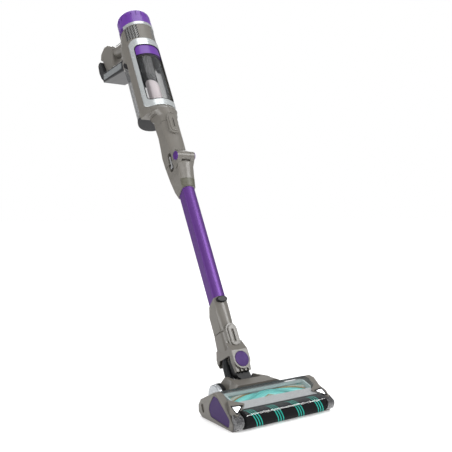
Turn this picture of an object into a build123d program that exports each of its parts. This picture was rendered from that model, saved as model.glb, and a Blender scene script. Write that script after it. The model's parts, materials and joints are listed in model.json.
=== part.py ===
from build123d import *
import math
import os

os.makedirs("parts", exist_ok=True)

# Cordless stick vacuum, millimetres, +Z up, the front of the head faces -Y.
# The origin lies on the floor, on the mid-plane, in the middle of the sole's rear land.

# ---------------------------------------------------------------- driving dimensions
HEAD_WIDTH = 263.0          # over both end caps
HEAD_FRONT = -100.0         # y of the front edge of the end caps
CAP_INNER = 114.0           # inner face of each end cap
HEAD_HEIGHT = 62.0          # top of the head
PLATE_OUT = 107.0           # outer face of the chassis end plates
PLATE_IN = 103.0            # inner face of the chassis end plates
AXLE_BACK = 148.8           # rear axle, measured back from HEAD_FRONT
WHEEL_R = 26.0
AXLE_R = 4.0
RUNNING = 0.05              # radial clearance of a shaft that turns in a hole
GAP = 0.35                  # clearance between neighbours that move
LEAN = 28.5                 # lean of the stick from upright, degrees

ROLLER_Y = 1.5              # front roller axis, back from HEAD_FRONT
ROLLER_R = 18.3
BRUSH_Y = 62.5              # brush roll axis, back from HEAD_FRONT
BRUSH_Z = 25.0
BRUSH_R = 23.4
BRUSH_CORE_R = 17.0
COVER_SLOPE = 18.0          # slope of the clear window, degrees
COVER_BACK = 66.0           # rear edge of the window, back from HEAD_FRONT
COVER_T = 2.2

SWIVEL_S = 65.0             # swivel axis, up the stick from the rear axle
SOCKET_TOP = 140.0
SLEEVE_TOP = 214.0
TUBE_TOP = 517.0
FOLD_S = 608.0              # fold hinge, up the stick
FOLD_D = -35.0              # fold hinge, towards the front
COUPLING_S = 729.0
COLLAR_S = 768.0
BIN_LOW = 786.0
BIN_TOP = 963.0
BAND_TOP = 995.0
HOUSING_LOW = 1019.0
RING_LOW = 1069.0
CAP_LOW = 1079.0
CAP_TOP = 1134.0
BIN_R = 54.0
BIN_D = 38.0                # depth of the bin axis behind the stick axis
BIN_BACK_D = 54.0           # depth of the rounded back of the bin
MOTOR_R = 49.0
MOTOR_D = 29.0
BATTERY_TILT = 24.0

FROM_BASE = (Align.CENTER, Align.CENTER, Align.MIN)
AXLE_Y = HEAD_FRONT + AXLE_BACK


# ---------------------------------------------------------------- planes and helpers
def side(x):
    """Plane across the head at x: local x runs back from the head's front, local y is up."""
    return Plane(origin=(x, HEAD_FRONT, 0), x_dir=(0, 1, 0), z_dir=(1, 0, 0))


def spot(x, back, height):
    """Plane across the head at x, centred on a point of its side view."""
    return Plane(origin=(x, HEAD_FRONT + back, height), x_dir=(0, 1, 0), z_dir=(1, 0, 0))


def along(point_d, point_s, x=0.0):
    """A point of the stick frame: x across, d towards the back, s up the stick."""
    lean = math.radians(LEAN)
    y = AXLE_Y + point_d * math.cos(lean) + point_s * math.sin(lean)
    z = WHEEL_R - point_d * math.sin(lean) + point_s * math.cos(lean)
    return (x, y, z)


STICK_UP = (0, math.sin(math.radians(LEAN)), math.cos(math.radians(LEAN)))
STICK_BACK = (0, math.cos(math.radians(LEAN)), -math.sin(math.radians(LEAN)))
STICK_FRONT = (0, -STICK_BACK[1], -STICK_BACK[2])


def stick(s):
    """Plane across the stick at height s: local x across, local y towards the back."""
    return Plane(origin=along(0, s), x_dir=(1, 0, 0), z_dir=STICK_UP)


def stick_side(x):
    """Plane along the stick at x: local x towards the back, local y up the stick."""
    return Plane(origin=along(0, 0, x), x_dir=STICK_BACK, z_dir=(1, 0, 0))


def stick_front(d):
    """Plane facing the front at depth d: local x across, local y up the stick."""
    return Plane(origin=along(d, 0), x_dir=(1, 0, 0), z_dir=STICK_FRONT)


def wand_section(half_width, rear, shoulder, front, corner=5.0):
    """Flat sides, a square back with rounded corners and a bowed front."""
    with BuildSketch(mode=Mode.PRIVATE) as section:
        with BuildLine():
            Polyline(
                (half_width, -shoulder), (half_width, rear), (-half_width, rear), (-half_width, -shoulder)
            )
            ThreePointArc((-half_width, -shoulder), (0, -front), (half_width, -shoulder))
        make_face()
        back = section.vertices().sort_by(Axis.Y)[-2:]
        fillet(back, corner)
        nose = section.vertices().sort_by(Axis.Y)[:2]
        fillet(nose, 2.5)
    return section.sketch


def bin_outline(inset=0.0):
    """Round front and a rounded back that reaches further behind the stick."""
    with BuildSketch(mode=Mode.PRIVATE) as outline:
        with Locations((0, BIN_D)):
            Circle(BIN_R - 3.8 - inset)
        with Locations((0, BIN_BACK_D)):
            Circle(BIN_R - 6.0 - inset)
        make_hull()
    return outline.sketch


def export(piece, name):
    piece.part.label = name
    export_step(piece.part, "parts/" + name + ".step")


def mirrored(piece, name):
    """The same piece on the other side of the mid-plane."""
    with BuildPart() as other:
        add(piece.part)
        mirror(about=Plane.YZ, mode=Mode.REPLACE)
    export(other, name)
    return other


# ---------------------------------------------------------------- floor head
CAP_OUTLINE = [
    (-1, 0), (110, 0), (124, 9), (124.5, 25), (116, 37),
    (67, HEAD_HEIGHT), (52, 59.5), (8, 27), (-4, 14),
]
CAP_OUTER = HEAD_WIDTH / 2
INSERT_OUTLINE = [(8, 5), (74, 11), (82, 24), (79, 36), (64, 57), (50, 55), (5, 22)]
INSERT_DEPTH = 2.0

slope = math.radians(COVER_SLOPE)
ROLLER_Z = ROLLER_R + 0.2
# outer radius of the cover's curl over the roller, tangent to its sloping face
COVER_RING = (HEAD_HEIGHT - ROLLER_Z) * math.cos(slope) - (COVER_BACK - ROLLER_Y) * math.sin(slope)
LIP_ANGLE = 37.0            # lip of the curl, up from straight ahead of the roller's axis
ROLLER_HALF = 106.5
BELT_IN = 107.3             # belts and pulleys run between the end plates and the caps
BELT_OUT = 109.9


def cover_point(back, lift=0.0):
    """Point of the window's outer face, back from the head's front, lifted square to it."""
    z = HEAD_HEIGHT - (COVER_BACK - back) * math.tan(slope)
    return (back - lift * math.sin(slope), z + lift * math.cos(slope))


def roller_point(radius, angle):
    """Point around the front roller's axis; the angle is measured up from straight ahead."""
    turn = math.radians(angle)
    return (ROLLER_Y - radius * math.cos(turn), ROLLER_Z + radius * math.sin(turn))


COVER_PLANE = Plane(
    origin=(0, HEAD_FRONT + COVER_BACK, HEAD_HEIGHT),
    x_dir=(1, 0, 0),
    z_dir=(0, -math.sin(slope), math.cos(slope)),
)
WING = [(-CAP_INNER, -34), (-88, -54), (-107, -70), (-122, -79), (-127, -60), (-118, -34)]
# The lamp's facet on the wing faces forward and up: tip, outer top and lowest corner.
FACET = [
    Vector(-88.5, HEAD_FRONT + 13.5, 45.6),
    Vector(-123, HEAD_FRONT + 20, 46.5),
    Vector(-122, HEAD_FRONT - 8, 31),
]
FACET_NORMAL = (FACET[1] - FACET[0]).cross(FACET[2] - FACET[0])
FACET_PLANE = Plane(origin=FACET[0], x_dir=FACET[0] - FACET[1], z_dir=FACET_NORMAL)


def wing_sketch(clearance=0.0):
    with BuildSketch(mode=Mode.PRIVATE) as wing:
        Polygon(*WING, align=None)
        fillet(wing.vertices(), 2.5)
        if clearance:
            offset(amount=clearance)
    return wing.sketch


def lamp_triangle(inset):
    """Triangle of the lamp's facet, shrunk on every side."""
    corners = [FACET_PLANE.to_local_coords(corner) for corner in FACET]
    with BuildSketch(mode=Mode.PRIVATE) as triangle:
        Polygon(*[(corner.X, corner.Y) for corner in corners], align=None)
        offset(amount=-inset, kind=Kind.INTERSECTION)
        fillet(triangle.vertices(), 1.5)
    return triangle.sketch


with BuildPart() as left_end_cap:
    with BuildSketch(side(-CAP_OUTER)) as cap_profile:
        Polygon(*CAP_OUTLINE, align=None)
        fillet(cap_profile.vertices().filter_by(lambda v: v.Z > 26), 9)
        fillet(cap_profile.vertices().filter_by(lambda v: 0.5 < v.Z < 15), 7)
    extrude(amount=CAP_OUTER - CAP_INNER)
    fillet(left_end_cap.faces().sort_by(Axis.X)[0].edges(), 3.5)
    with BuildSketch(COVER_PLANE.offset(-13)):
        add(wing_sketch())
    extrude(amount=14)
    with BuildSketch(FACET_PLANE):
        Rectangle(110, 90)
    extrude(amount=25, mode=Mode.SUBTRACT)
    with BuildSketch(side(-CAP_INNER)):
        with Locations((ROLLER_Y, ROLLER_Z)):
            Circle(ROLLER_R + 0.9)
    extrude(amount=40, mode=Mode.SUBTRACT)
    with BuildSketch(FACET_PLANE):
        add(lamp_triangle(1.6))
    extrude(amount=-2.4, mode=Mode.SUBTRACT)
    with BuildSketch(side(-CAP_OUTER)) as insert_pocket:
        Polygon(*INSERT_OUTLINE, align=None)
        fillet(insert_pocket.vertices(), 7)
    extrude(amount=INSERT_DEPTH, mode=Mode.SUBTRACT)
    with BuildSketch(side(-CAP_OUTER)):
        with Locations(Location((105, 21), 65)):
            SlotOverall(19, 9)
    extrude(amount=3, mode=Mode.SUBTRACT)
export(left_end_cap, "left_end_cap")
right_end_cap = mirrored(left_end_cap, "right_end_cap")

with BuildPart() as end_inserts:
    with BuildSketch(side(-CAP_OUTER + 0.6)) as insert_profile:
        Polygon(*INSERT_OUTLINE, align=None)
        fillet(insert_profile.vertices(), 7)
        offset(amount=-0.4)
    extrude(amount=INSERT_DEPTH - 0.6)
    chamfer(end_inserts.faces().sort_by(Axis.X)[0].edges(), 0.5)
    mirror(about=Plane.YZ)
export(end_inserts, "end_inserts")

# Chassis: two end plates, a rear wall curved round the brush, and a bar between the rollers.
REAR_WALL = [(62.5, 3.2), (120, 3.2), (122, 10), (122, 37.5), (93, 37.5), (86, 45), (75, 53.5), (62.5, 55)]
DIVIDER = [(22.5, 3.2), (44, 3.2), (37.5, 12), (34.5, 25), (28, 33), (23.5, 25)]
END_PLATE = [
    (22.5, 3.2), (120, 3.2), (122, 10), (122, 37.5), (93, 37.5),
    (72, 54), (62, 55.5), (37, 47.5), (34.5, 34), (23.5, 30),
]
CHAMBER_R = BRUSH_R + 1.6
MOTOR_BACK = 105.5
MOTOR_Z = 20.0
MOTOR_CAN_R = 13.5
SPINDLE_R = 1.6
DUCT_X = -26.0
DUCT_Z = 28.0
DUCT_R = 15.0

with BuildPart() as head_chassis:
    with BuildSketch(side(-PLATE_OUT)):
        Polygon(*REAR_WALL, align=None)
        with Locations((BRUSH_Y, BRUSH_Z)):
            Circle(CHAMBER_R, mode=Mode.SUBTRACT)
    extrude(amount=2 * PLATE_OUT)
    with BuildSketch(side(-PLATE_OUT)):
        Polygon(*DIVIDER, align=None)
    extrude(amount=2 * PLATE_OUT)
    for plate_x in (-PLATE_OUT, PLATE_IN):
        with BuildSketch(side(plate_x)):
            Polygon(*END_PLATE, align=None)
        extrude(amount=PLATE_OUT - PLATE_IN)
    with BuildSketch(side(-PLATE_OUT)):
        with Locations((BRUSH_Y, BRUSH_Z)):
            Circle(AXLE_R + RUNNING)
    extrude(amount=2 * PLATE_OUT, mode=Mode.SUBTRACT)
    with BuildSketch(side(14)):
        with Locations((MOTOR_BACK, MOTOR_Z)):
            Circle(MOTOR_CAN_R + 0.4)
    extrude(amount=PLATE_IN - 14, mode=Mode.SUBTRACT)
    with BuildSketch(side(PLATE_IN - 1)):
        with Locations((MOTOR_BACK, MOTOR_Z)):
            Circle(SPINDLE_R + 0.5)
    extrude(amount=10, mode=Mode.SUBTRACT)
    with BuildSketch(Plane(origin=(DUCT_X, HEAD_FRONT + 70, DUCT_Z), x_dir=(1, 0, 0), z_dir=(0, 1, 0))):
        Circle(DUCT_R - 2)
    extrude(amount=60, mode=Mode.SUBTRACT)
export(head_chassis, "head_chassis")

with BuildPart() as sole_plate:
    with BuildSketch(Plane.XY):
        with Locations((0, HEAD_FRONT + 72)):
            Rectangle(2 * PLATE_OUT, 98)
        with Locations((0, HEAD_FRONT + BRUSH_Y)):
            Rectangle(2 * PLATE_IN - 4, 38, mode=Mode.SUBTRACT)
    extrude(amount=3)
    with Locations((0, HEAD_FRONT + 33, 3), (0, HEAD_FRONT + 112, 3)):
        with GridLocations(170, 0, 2, 1):
            CounterBoreHole(1.6, 3.2, 1.4)
export(sole_plate, "sole_plate")

with BuildPart() as lamp_bezels:
    with BuildSketch(FACET_PLANE.offset(-2.3)):
        add(lamp_triangle(1.7))
        add(lamp_triangle(4.4), mode=Mode.SUBTRACT)
    extrude(amount=2.0)
    mirror(about=Plane.YZ)
export(lamp_bezels, "lamp_bezels")

with BuildPart() as lamps:
    with BuildSketch(FACET_PLANE.offset(-2.3)):
        add(lamp_triangle(4.5))
    extrude(amount=1.4)
    mirror(about=Plane.YZ)
export(lamps, "lamps")

# Clear window: a sloping plate whose front edge curls over the roller, notched round the wings.
with BuildPart() as brush_window:
    with BuildSketch(side(-CAP_INNER + 0.3)):
        with BuildLine():
            face_angle = 90 - COVER_SLOPE
            middle_angle = (face_angle + LIP_ANGLE) / 2
            inner_ring = COVER_RING - COVER_T
            outer = Line(cover_point(COVER_BACK), roller_point(COVER_RING, face_angle))
            curl_end = roller_point(COVER_RING, LIP_ANGLE)
            curl = ThreePointArc(outer @ 1, roller_point(COVER_RING, middle_angle), curl_end)
            lip = Line(curl @ 1, roller_point(inner_ring, LIP_ANGLE))
            under_end = roller_point(inner_ring, face_angle)
            under = ThreePointArc(lip @ 1, roller_point(inner_ring, middle_angle), under_end)
            below = Line(under @ 1, cover_point(COVER_BACK, -COVER_T))
            Line(below @ 1, outer @ 0)
        make_face()
    extrude(amount=2 * CAP_INNER - 0.6)
    with BuildSketch(COVER_PLANE.offset(-30)):
        add(wing_sketch(0.3))
        Polygon((-CAP_INNER - 2, -33), (-104, -42), (-104, -90), (-CAP_INNER - 2, -90), align=None)
        mirror(about=Plane.YZ)
    extrude(amount=45, mode=Mode.SUBTRACT)
export(brush_window, "brush_window")

# Rear edge strip of the window, under which the window is clamped.
with BuildPart() as window_trim:
    with BuildSketch(side(-CAP_INNER + 0.3)):
        with BuildLine():
            front_corners = (cover_point(66.3, 0), cover_point(66.3, -COVER_T))
            Polyline(*front_corners, (69.5, 57), (74, 57), (71.5, 60.8), close=True)
        make_face()
    extrude(amount=2 * CAP_INNER - 0.6)
export(window_trim, "window_trim")

# Brackets that carry the front roller and close its ends in front of the caps.
with BuildPart() as roller_brackets:
    with BuildSketch(side(-CAP_INNER + 0.3)) as bracket:
        with Locations((ROLLER_Y, ROLLER_Z)):
            Circle(ROLLER_R - 1.5)
            Circle(3 + RUNNING, mode=Mode.SUBTRACT)
    extrude(amount=CAP_INNER - BELT_OUT - 0.6)
    with BuildSketch(side(-CAP_OUTER + 3)):
        with Locations((ROLLER_Y, ROLLER_Z)):
            Circle(ROLLER_R - 1.5)
        offset(Polygon(*CAP_OUTLINE, align=None, mode=Mode.PRIVATE), amount=0.4, mode=Mode.SUBTRACT)
        with Locations((ROLLER_Y + 20, ROLLER_Z)):
            Rectangle(40, 60, mode=Mode.SUBTRACT)
    extrude(amount=CAP_OUTER - CAP_INNER - 3 + 0.5)
    add(left_end_cap.part, mode=Mode.SUBTRACT)
    with BuildSketch(FACET_PLANE.offset(-2.6)):
        Rectangle(110, 90)
    extrude(amount=30, mode=Mode.SUBTRACT)
    mirror(about=Plane.YZ)
export(roller_brackets, "roller_brackets")

# ---------------------------------------------------------------- rollers, belts and motor
BRUSH_PULLEY_R = 10.0
MOTOR_PULLEY_R = 5.0
BRUSH_TAKEOFF_R = 7.0
ROLLER_PULLEY_R = 10.5
BELT_T = 1.2


with BuildPart() as front_roller_core:
    with Locations(spot(-ROLLER_HALF + 0.4, ROLLER_Y, ROLLER_Z)):
        Cylinder(9, 2 * ROLLER_HALF - 0.8, align=FROM_BASE)
    with Locations(spot(-CAP_INNER + 0.6, ROLLER_Y, ROLLER_Z)):
        Cylinder(3, 2 * CAP_INNER - 1.2, align=FROM_BASE)
    with Locations(spot(-BELT_OUT, ROLLER_Y, ROLLER_Z)):
        Cylinder(ROLLER_PULLEY_R, BELT_OUT - BELT_IN, align=FROM_BASE)
    with Locations(spot(-BELT_OUT, ROLLER_Y, ROLLER_Z)):
        Cylinder(6, 6, align=FROM_BASE)
export(front_roller_core, "front_roller_core")

with BuildPart() as front_roller_pile:
    with BuildSketch(side(-ROLLER_HALF)):
        with Locations((ROLLER_Y, ROLLER_Z)):
            Circle(ROLLER_R)
            Circle(9, mode=Mode.SUBTRACT)
    extrude(amount=2 * ROLLER_HALF)
export(front_roller_pile, "front_roller_pile")

with BuildPart() as brush_roll_core:
    with Locations(spot(-PLATE_IN + 0.8, BRUSH_Y, BRUSH_Z)):
        Cylinder(BRUSH_CORE_R, 2 * PLATE_IN - 1.6, align=FROM_BASE)
    with Locations(spot(-BELT_OUT, BRUSH_Y, BRUSH_Z)):
        Cylinder(AXLE_R, 2 * BELT_OUT, align=FROM_BASE)
    with Locations(spot(BELT_IN, BRUSH_Y, BRUSH_Z)):
        Cylinder(BRUSH_PULLEY_R, BELT_OUT - BELT_IN, align=FROM_BASE)
    with Locations(spot(-BELT_OUT, BRUSH_Y, BRUSH_Z)):
        Cylinder(BRUSH_TAKEOFF_R, BELT_OUT - BELT_IN, align=FROM_BASE)
export(brush_roll_core, "brush_roll_core")

with BuildPart() as brush_roll_fins:
    with BuildSketch(side(-PLATE_IN + 2.5)):
        with Locations((BRUSH_Y, BRUSH_Z)):
            Circle(BRUSH_R)
            Circle(BRUSH_CORE_R, mode=Mode.SUBTRACT)
    extrude(amount=2 * PLATE_IN - 5)
export(brush_roll_fins, "brush_roll_fins")

with BuildPart() as drive_motor:
    with Locations(spot(22, MOTOR_BACK, MOTOR_Z)):
        Cylinder(MOTOR_CAN_R, 74, align=FROM_BASE)
    with Locations(spot(96, MOTOR_BACK, MOTOR_Z)):
        Cylinder(5, 5, align=FROM_BASE)
    with BuildSketch(side(80)):
        with Locations((MOTOR_BACK, MOTOR_Z)):
            Circle(SPINDLE_R + RUNNING)
    extrude(amount=30, mode=Mode.SUBTRACT)
export(drive_motor, "drive_motor")

with BuildPart() as motor_pulley:
    with Locations(spot(82, MOTOR_BACK, MOTOR_Z)):
        Cylinder(SPINDLE_R, BELT_OUT - 82, align=FROM_BASE)
    with Locations(spot(BELT_IN, MOTOR_BACK, MOTOR_Z)):
        Cylinder(MOTOR_PULLEY_R, BELT_OUT - BELT_IN, align=FROM_BASE)
export(motor_pulley, "motor_pulley")


def belt_loop(first, first_r, second, second_r, grow):
    """Outline round two pulleys, grown by the given amount."""
    with BuildSketch(mode=Mode.PRIVATE) as loop:
        with Locations(first):
            Circle(first_r + grow)
        with Locations(second):
            Circle(second_r + grow)
        make_hull()
    return loop.sketch


# centre and radius of the driving and of the driven pulley
MOTOR_DRIVE = ((BRUSH_Y, BRUSH_Z), BRUSH_PULLEY_R, (MOTOR_BACK, MOTOR_Z), MOTOR_PULLEY_R)
ROLLER_DRIVE = ((BRUSH_Y, BRUSH_Z), BRUSH_TAKEOFF_R, (ROLLER_Y, ROLLER_Z), ROLLER_PULLEY_R)
with BuildPart() as drive_belts:
    with BuildSketch(side(BELT_IN + 0.1)):
        add(belt_loop(*MOTOR_DRIVE, 0.15 + BELT_T))
        add(belt_loop(*MOTOR_DRIVE, 0.15), mode=Mode.SUBTRACT)
    extrude(amount=BELT_OUT - BELT_IN - 0.2)
    with BuildSketch(side(-BELT_OUT + 0.1)):
        add(belt_loop(*ROLLER_DRIVE, 0.15 + BELT_T))
        add(belt_loop(*ROLLER_DRIVE, 0.15), mode=Mode.SUBTRACT)
    extrude(amount=BELT_OUT - BELT_IN - 0.2)
export(drive_belts, "drive_belts")

# ---------------------------------------------------------------- neck of the head, wheels
NECK_TOP = 63.5
NECK_SEAM = 38.0
NECK_REAR = 166.0
TOP_FACET = [(-46, 150), (28, 147), (40, 118), (42, 76.5), (-60, 76.5), (-52, 120)]
LOW_FACET = [(-56.5, 165), (56.5, 165), (56.5, 121), (103, 77), (-103, 77), (-56.5, 121)]
ARM = 56.5
HOSE_X = -26.0
YOKE_LEFT = -8.5
YOKE_RIGHT = 24.7
HOSE_WELL = (-39.0, -12.0)
AXLE_SPOT = (AXLE_BACK, WHEEL_R)


def plan(points):
    return [(x, HEAD_FRONT + back) for x, back in points]


with BuildPart() as neck_cover:
    with BuildSketch(Plane.XY.offset(NECK_SEAM)):
        Polygon(*plan(LOW_FACET), align=None)
    with BuildSketch(Plane.XY.offset(NECK_TOP)):
        Polygon(*plan(TOP_FACET), align=None)
    loft(ruled=True)
    with BuildSketch(Plane.XY.offset(8)):
        Polygon(*plan([(-ARM, 124.6), (ARM, 124.6), (ARM, NECK_REAR), (-ARM, NECK_REAR)]), align=None)
    extrude(amount=NECK_SEAM - 8)
    with BuildSketch(side(-110)):
        Polygon((50, 30), (92.8, 37.7), (86.5, 45.5), (75.5, 54.2), (60, 56), align=None)
    extrude(amount=220, mode=Mode.SUBTRACT)
    # wells for the yoke and for the hose beside it, open to the top, the back and below
    for well_left, well_right in ((YOKE_LEFT - 0.3, YOKE_RIGHT + 0.3), HOSE_WELL):
        with BuildSketch(Plane.XY):
            well = [(well_left, 124), (well_right, 124), (well_right, 175), (well_left, 175)]
            Polygon(*plan(well), align=None)
        extrude(amount=80, mode=Mode.SUBTRACT)
    with BuildSketch(Plane.XY.offset(42)):
        Polygon(*plan([(-30, 115), (28, 115), (28, 175), (-39, 175), (-39, 126)]), align=None)
    extrude(amount=40, mode=Mode.SUBTRACT)
    with BuildSketch(side(-ARM)):
        with Locations(AXLE_SPOT):
            Circle(AXLE_R)
    extrude(amount=2 * ARM, mode=Mode.SUBTRACT)
export(neck_cover, "neck_cover")

with BuildPart() as wheel_axles:
    with Locations(spot(41, *AXLE_SPOT)):
        Cylinder(AXLE_R, 33, align=FROM_BASE)
    mirror(about=Plane.YZ)
export(wheel_axles, "wheel_axles")

with BuildPart() as tilt_pin:
    with Locations(spot(HOSE_WELL[1] + 0.1, *AXLE_SPOT)):
        Cylinder(AXLE_R, 47.5, align=FROM_BASE)
export(tilt_pin, "tilt_pin")

with BuildPart() as left_wheel_hub:
    with Locations(spot(-76, *AXLE_SPOT)):
        Cylinder(WHEEL_R - 1.2, 9.5, align=FROM_BASE)
    fillet(left_wheel_hub.faces().sort_by(Axis.X)[0].edges(), 3)
    with Locations(spot(-67, *AXLE_SPOT)):
        Cylinder(15, 9.8, align=FROM_BASE)
    with BuildSketch(side(-74.5)):
        with Locations(AXLE_SPOT):
            Circle(AXLE_R + RUNNING)
    extrude(amount=40, mode=Mode.SUBTRACT)
export(left_wheel_hub, "left_wheel_hub")
right_wheel_hub = mirrored(left_wheel_hub, "right_wheel_hub")

TREAD_BLOCKS = 36
with BuildPart() as left_wheel_tyre:
    with BuildSketch(side(-66.3)):
        with Locations(AXLE_SPOT):
            Circle(WHEEL_R)
            Circle(15, mode=Mode.SUBTRACT)
            with PolarLocations(WHEEL_R, TREAD_BLOCKS):
                Rectangle(2.0, 2.2, mode=Mode.SUBTRACT)
    extrude(amount=8.6)
export(left_wheel_tyre, "left_wheel_tyre")
right_wheel_tyre = mirrored(left_wheel_tyre, "right_wheel_tyre")

# ---------------------------------------------------------------- tilt yoke, hose
SWIVEL_R = 17.0
TONGUE = (-21.0, -4.0)      # front and rear face of the yoke's tongue
PIN_R = 4.0
TONGUE_OUTLINE = [
    (YOKE_LEFT, 0), (22, 0), (22, 26), (SWIVEL_R, 50), (SWIVEL_R, SWIVEL_S),
    (-SWIVEL_R, SWIVEL_S), (-SWIVEL_R, 36), (-14, 28), (YOKE_LEFT, 25),
]
with BuildPart() as tilt_yoke:
    with Locations(spot(YOKE_LEFT, *AXLE_SPOT)):
        Cylinder(15, YOKE_RIGHT - YOKE_LEFT, align=FROM_BASE)
    with BuildSketch(stick_front(TONGUE[0])):
        with Locations((0, SWIVEL_S)):
            Circle(SWIVEL_R)
        Polygon(*TONGUE_OUTLINE, align=None)
    extrude(amount=TONGUE[0] - TONGUE[1])
    with BuildSketch(side(-50)):
        with Locations(AXLE_SPOT):
            Circle(AXLE_R + RUNNING)
    extrude(amount=100, mode=Mode.SUBTRACT)
    with BuildSketch(stick_front(-50)):
        with Locations((0, SWIVEL_S)):
            Circle(PIN_R + RUNNING)
    extrude(amount=-80, mode=Mode.SUBTRACT)
export(tilt_yoke, "tilt_yoke")

HOSE_R = 10.0
HOSE_ROUTE = [
    (HOSE_X, HEAD_FRONT + 92, DUCT_Z),
    (HOSE_X, HEAD_FRONT + 147, DUCT_Z),
    along(14, 60, -14),
    along(14, 94, -4.5),
]
HOSE_ARCS = [24, 60]
with BuildPart() as suction_hose:
    with BuildLine() as hose_path:
        route = FilletPolyline(*HOSE_ROUTE, radius=HOSE_ARCS)
    with BuildSketch(Plane(origin=HOSE_ROUTE[0], x_dir=(1, 0, 0), z_dir=(0, 1, 0))):
        Circle(HOSE_R)
        Circle(HOSE_R - 2, mode=Mode.SUBTRACT)
    sweep(path=route)
export(suction_hose, "suction_hose")
hose_section = math.pi * (HOSE_R**2 - (HOSE_R - 2) ** 2)
print("hose volume over section times length:", suction_hose.part.volume / (hose_section * route.length))

# ---------------------------------------------------------------- neck socket with the swivel fork
CHEEK_FRONT = -35.0
BOSS_W = 30.0
BOSS_L = 60.0
BUTTON_W = 22.0
BUTTON_L = 50.0
BOSS_TOP_D = -26.5
BUTTON_TOP_D = -29.5
LOWER_BUTTON_S = 123.5
UPPER_BUTTON_S = 718.0
AIRWAY_R = 13.5


def pill(length, width, s, grow=0.0):
    """Upright pill outline on a plane that faces the front, centred at height s."""
    with BuildSketch(mode=Mode.PRIVATE) as outline:
        with Locations((0, s)):
            SlotOverall(length + 2 * grow, width + 2 * grow, rotation=90)
    return outline.sketch


SKIRT_OUTLINE = [(2.5, 90), (2.5, 64), (22, 60), (33, 64), (38, 76), (37.5, 86), (29, 104), (20, 104)]
CHEEK_SLOPE = [(-40, 83), (-35, 87), (-23, 108), (-21, 125), (-40, 125)]


def fork_cheek(radius, top_s):
    """Round end on the swivel axis that runs up into the socket."""
    with BuildSketch(mode=Mode.PRIVATE) as outline:
        with Locations((0, SWIVEL_S)):
            Circle(radius)
        sides = [(-radius, SWIVEL_S), (radius, SWIVEL_S), (radius - 1, top_s), (-radius + 1, top_s)]
        Polygon(*sides, align=None)
    return outline.sketch


with BuildPart() as neck_socket:
    with BuildSketch(stick(86)):
        add(wand_section(21, 30, 7, 24))
    with BuildSketch(stick(SOCKET_TOP - 0.2)):
        add(wand_section(20, 25, 8, 22.5))
    loft(ruled=True)
    with BuildSketch(stick_side(-21)):
        Polygon(*SKIRT_OUTLINE, align=None)
    extrude(amount=42)
    skirt_rear = neck_socket.edges().filter_by(Axis.X).sort_by(Axis.Y)[-4:]
    fillet(skirt_rear, 3)
    with BuildSketch(stick_front(CHEEK_FRONT)):
        add(fork_cheek(22.5, 112))
    extrude(amount=CHEEK_FRONT - TONGUE[0] + GAP)
    with BuildSketch(stick_side(-30)):
        Polygon(*CHEEK_SLOPE, align=None)
    extrude(amount=60, mode=Mode.SUBTRACT)
    for plate_x in (-21, 18):
        with BuildSketch(stick_side(plate_x)):
            Polygon((-22, 79), (4, 79), (4, 90), (-22, 96), align=None)
        extrude(amount=3)
    with BuildSketch(stick_front(CHEEK_FRONT + 4)):
        Polygon((-19.5, 38), (19.5, 38), (22, 62), (-22, 62), align=None)
        with Locations((-10.5, 39), (0, 39), (10.5, 39)):
            Rectangle(4.5, 9, mode=Mode.SUBTRACT)
    extrude(amount=CHEEK_FRONT + 4 - TONGUE[0] + GAP)
    with BuildSketch(stick_front(TONGUE[1] + GAP)):
        add(fork_cheek(12.5, 90))
    extrude(amount=-6)
    with BuildSketch(stick_front(BOSS_TOP_D)):
        add(pill(BOSS_L, BOSS_W, LOWER_BUTTON_S))
    extrude(amount=-12)
    # hose well open below, its mouth on the left, then the airway up through the socket
    with BuildSketch(stick_side(-19.4)):
        Polygon((2.7, 50), (2.7, 86), (4, 99.5), (27, 99.5), (33.5, 84), (34, 70), (30, 50), align=None)
    extrude(amount=27.4, mode=Mode.SUBTRACT)
    with BuildSketch(stick_side(-30)):
        Polygon((2.4, 50), (2.4, 79), (25, 79.5), (34, 70), (30, 50), align=None)
    extrude(amount=16, mode=Mode.SUBTRACT)
    with BuildSketch(stick(80)):
        with Locations((0, 8)):
            Circle(AIRWAY_R)
    extrude(amount=80, mode=Mode.SUBTRACT)
    with BuildSketch(stick_front(BOSS_TOP_D - 6)):
        add(pill(BUTTON_L, BUTTON_W, LOWER_BUTTON_S, 0.3))
    extrude(amount=-17, mode=Mode.SUBTRACT)
    with BuildSketch(stick_front(-50)):
        with Locations((0, SWIVEL_S)):
            Circle(PIN_R)
    extrude(amount=-52, mode=Mode.SUBTRACT)
    with BuildSketch(stick_front(CHEEK_FRONT - 1)):
        with Locations((0, SWIVEL_S)):
            Circle(18.3)
    extrude(amount=-2.6, mode=Mode.SUBTRACT)
export(neck_socket, "neck_socket")

with BuildPart() as swivel_cap:
    with BuildSketch(stick_front(CHEEK_FRONT + 1.6)):
        with Locations((0, SWIVEL_S)):
            Circle(18)
    extrude(amount=2.2)
    chamfer(swivel_cap.edges().sort_by(Axis((0, 0, 0), STICK_FRONT))[-1], 0.6)
export(swivel_cap, "swivel_cap")

with BuildPart() as swivel_pin:
    with BuildSketch(stick_front(CHEEK_FRONT + 2)):
        with Locations((0, SWIVEL_S)):
            Circle(PIN_R)
    extrude(amount=CHEEK_FRONT + 2 - 2)
export(swivel_pin, "swivel_pin")


def release_button(s, name):
    with BuildPart() as button:
        with BuildSketch(stick_front(BUTTON_TOP_D)):
            add(pill(BUTTON_L, BUTTON_W, s))
        extrude(amount=-7)
        front_rim = button.faces().sort_by(Axis((0, 0, 0), STICK_FRONT))[-1].edges()
        fillet(front_rim, 1.6)
    export(button, name)
    return button


lower_release_button = release_button(LOWER_BUTTON_S, "lower_release_button")

# ---------------------------------------------------------------- wand sleeve, tube
SEAM_SLANT = math.radians(25)


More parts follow.
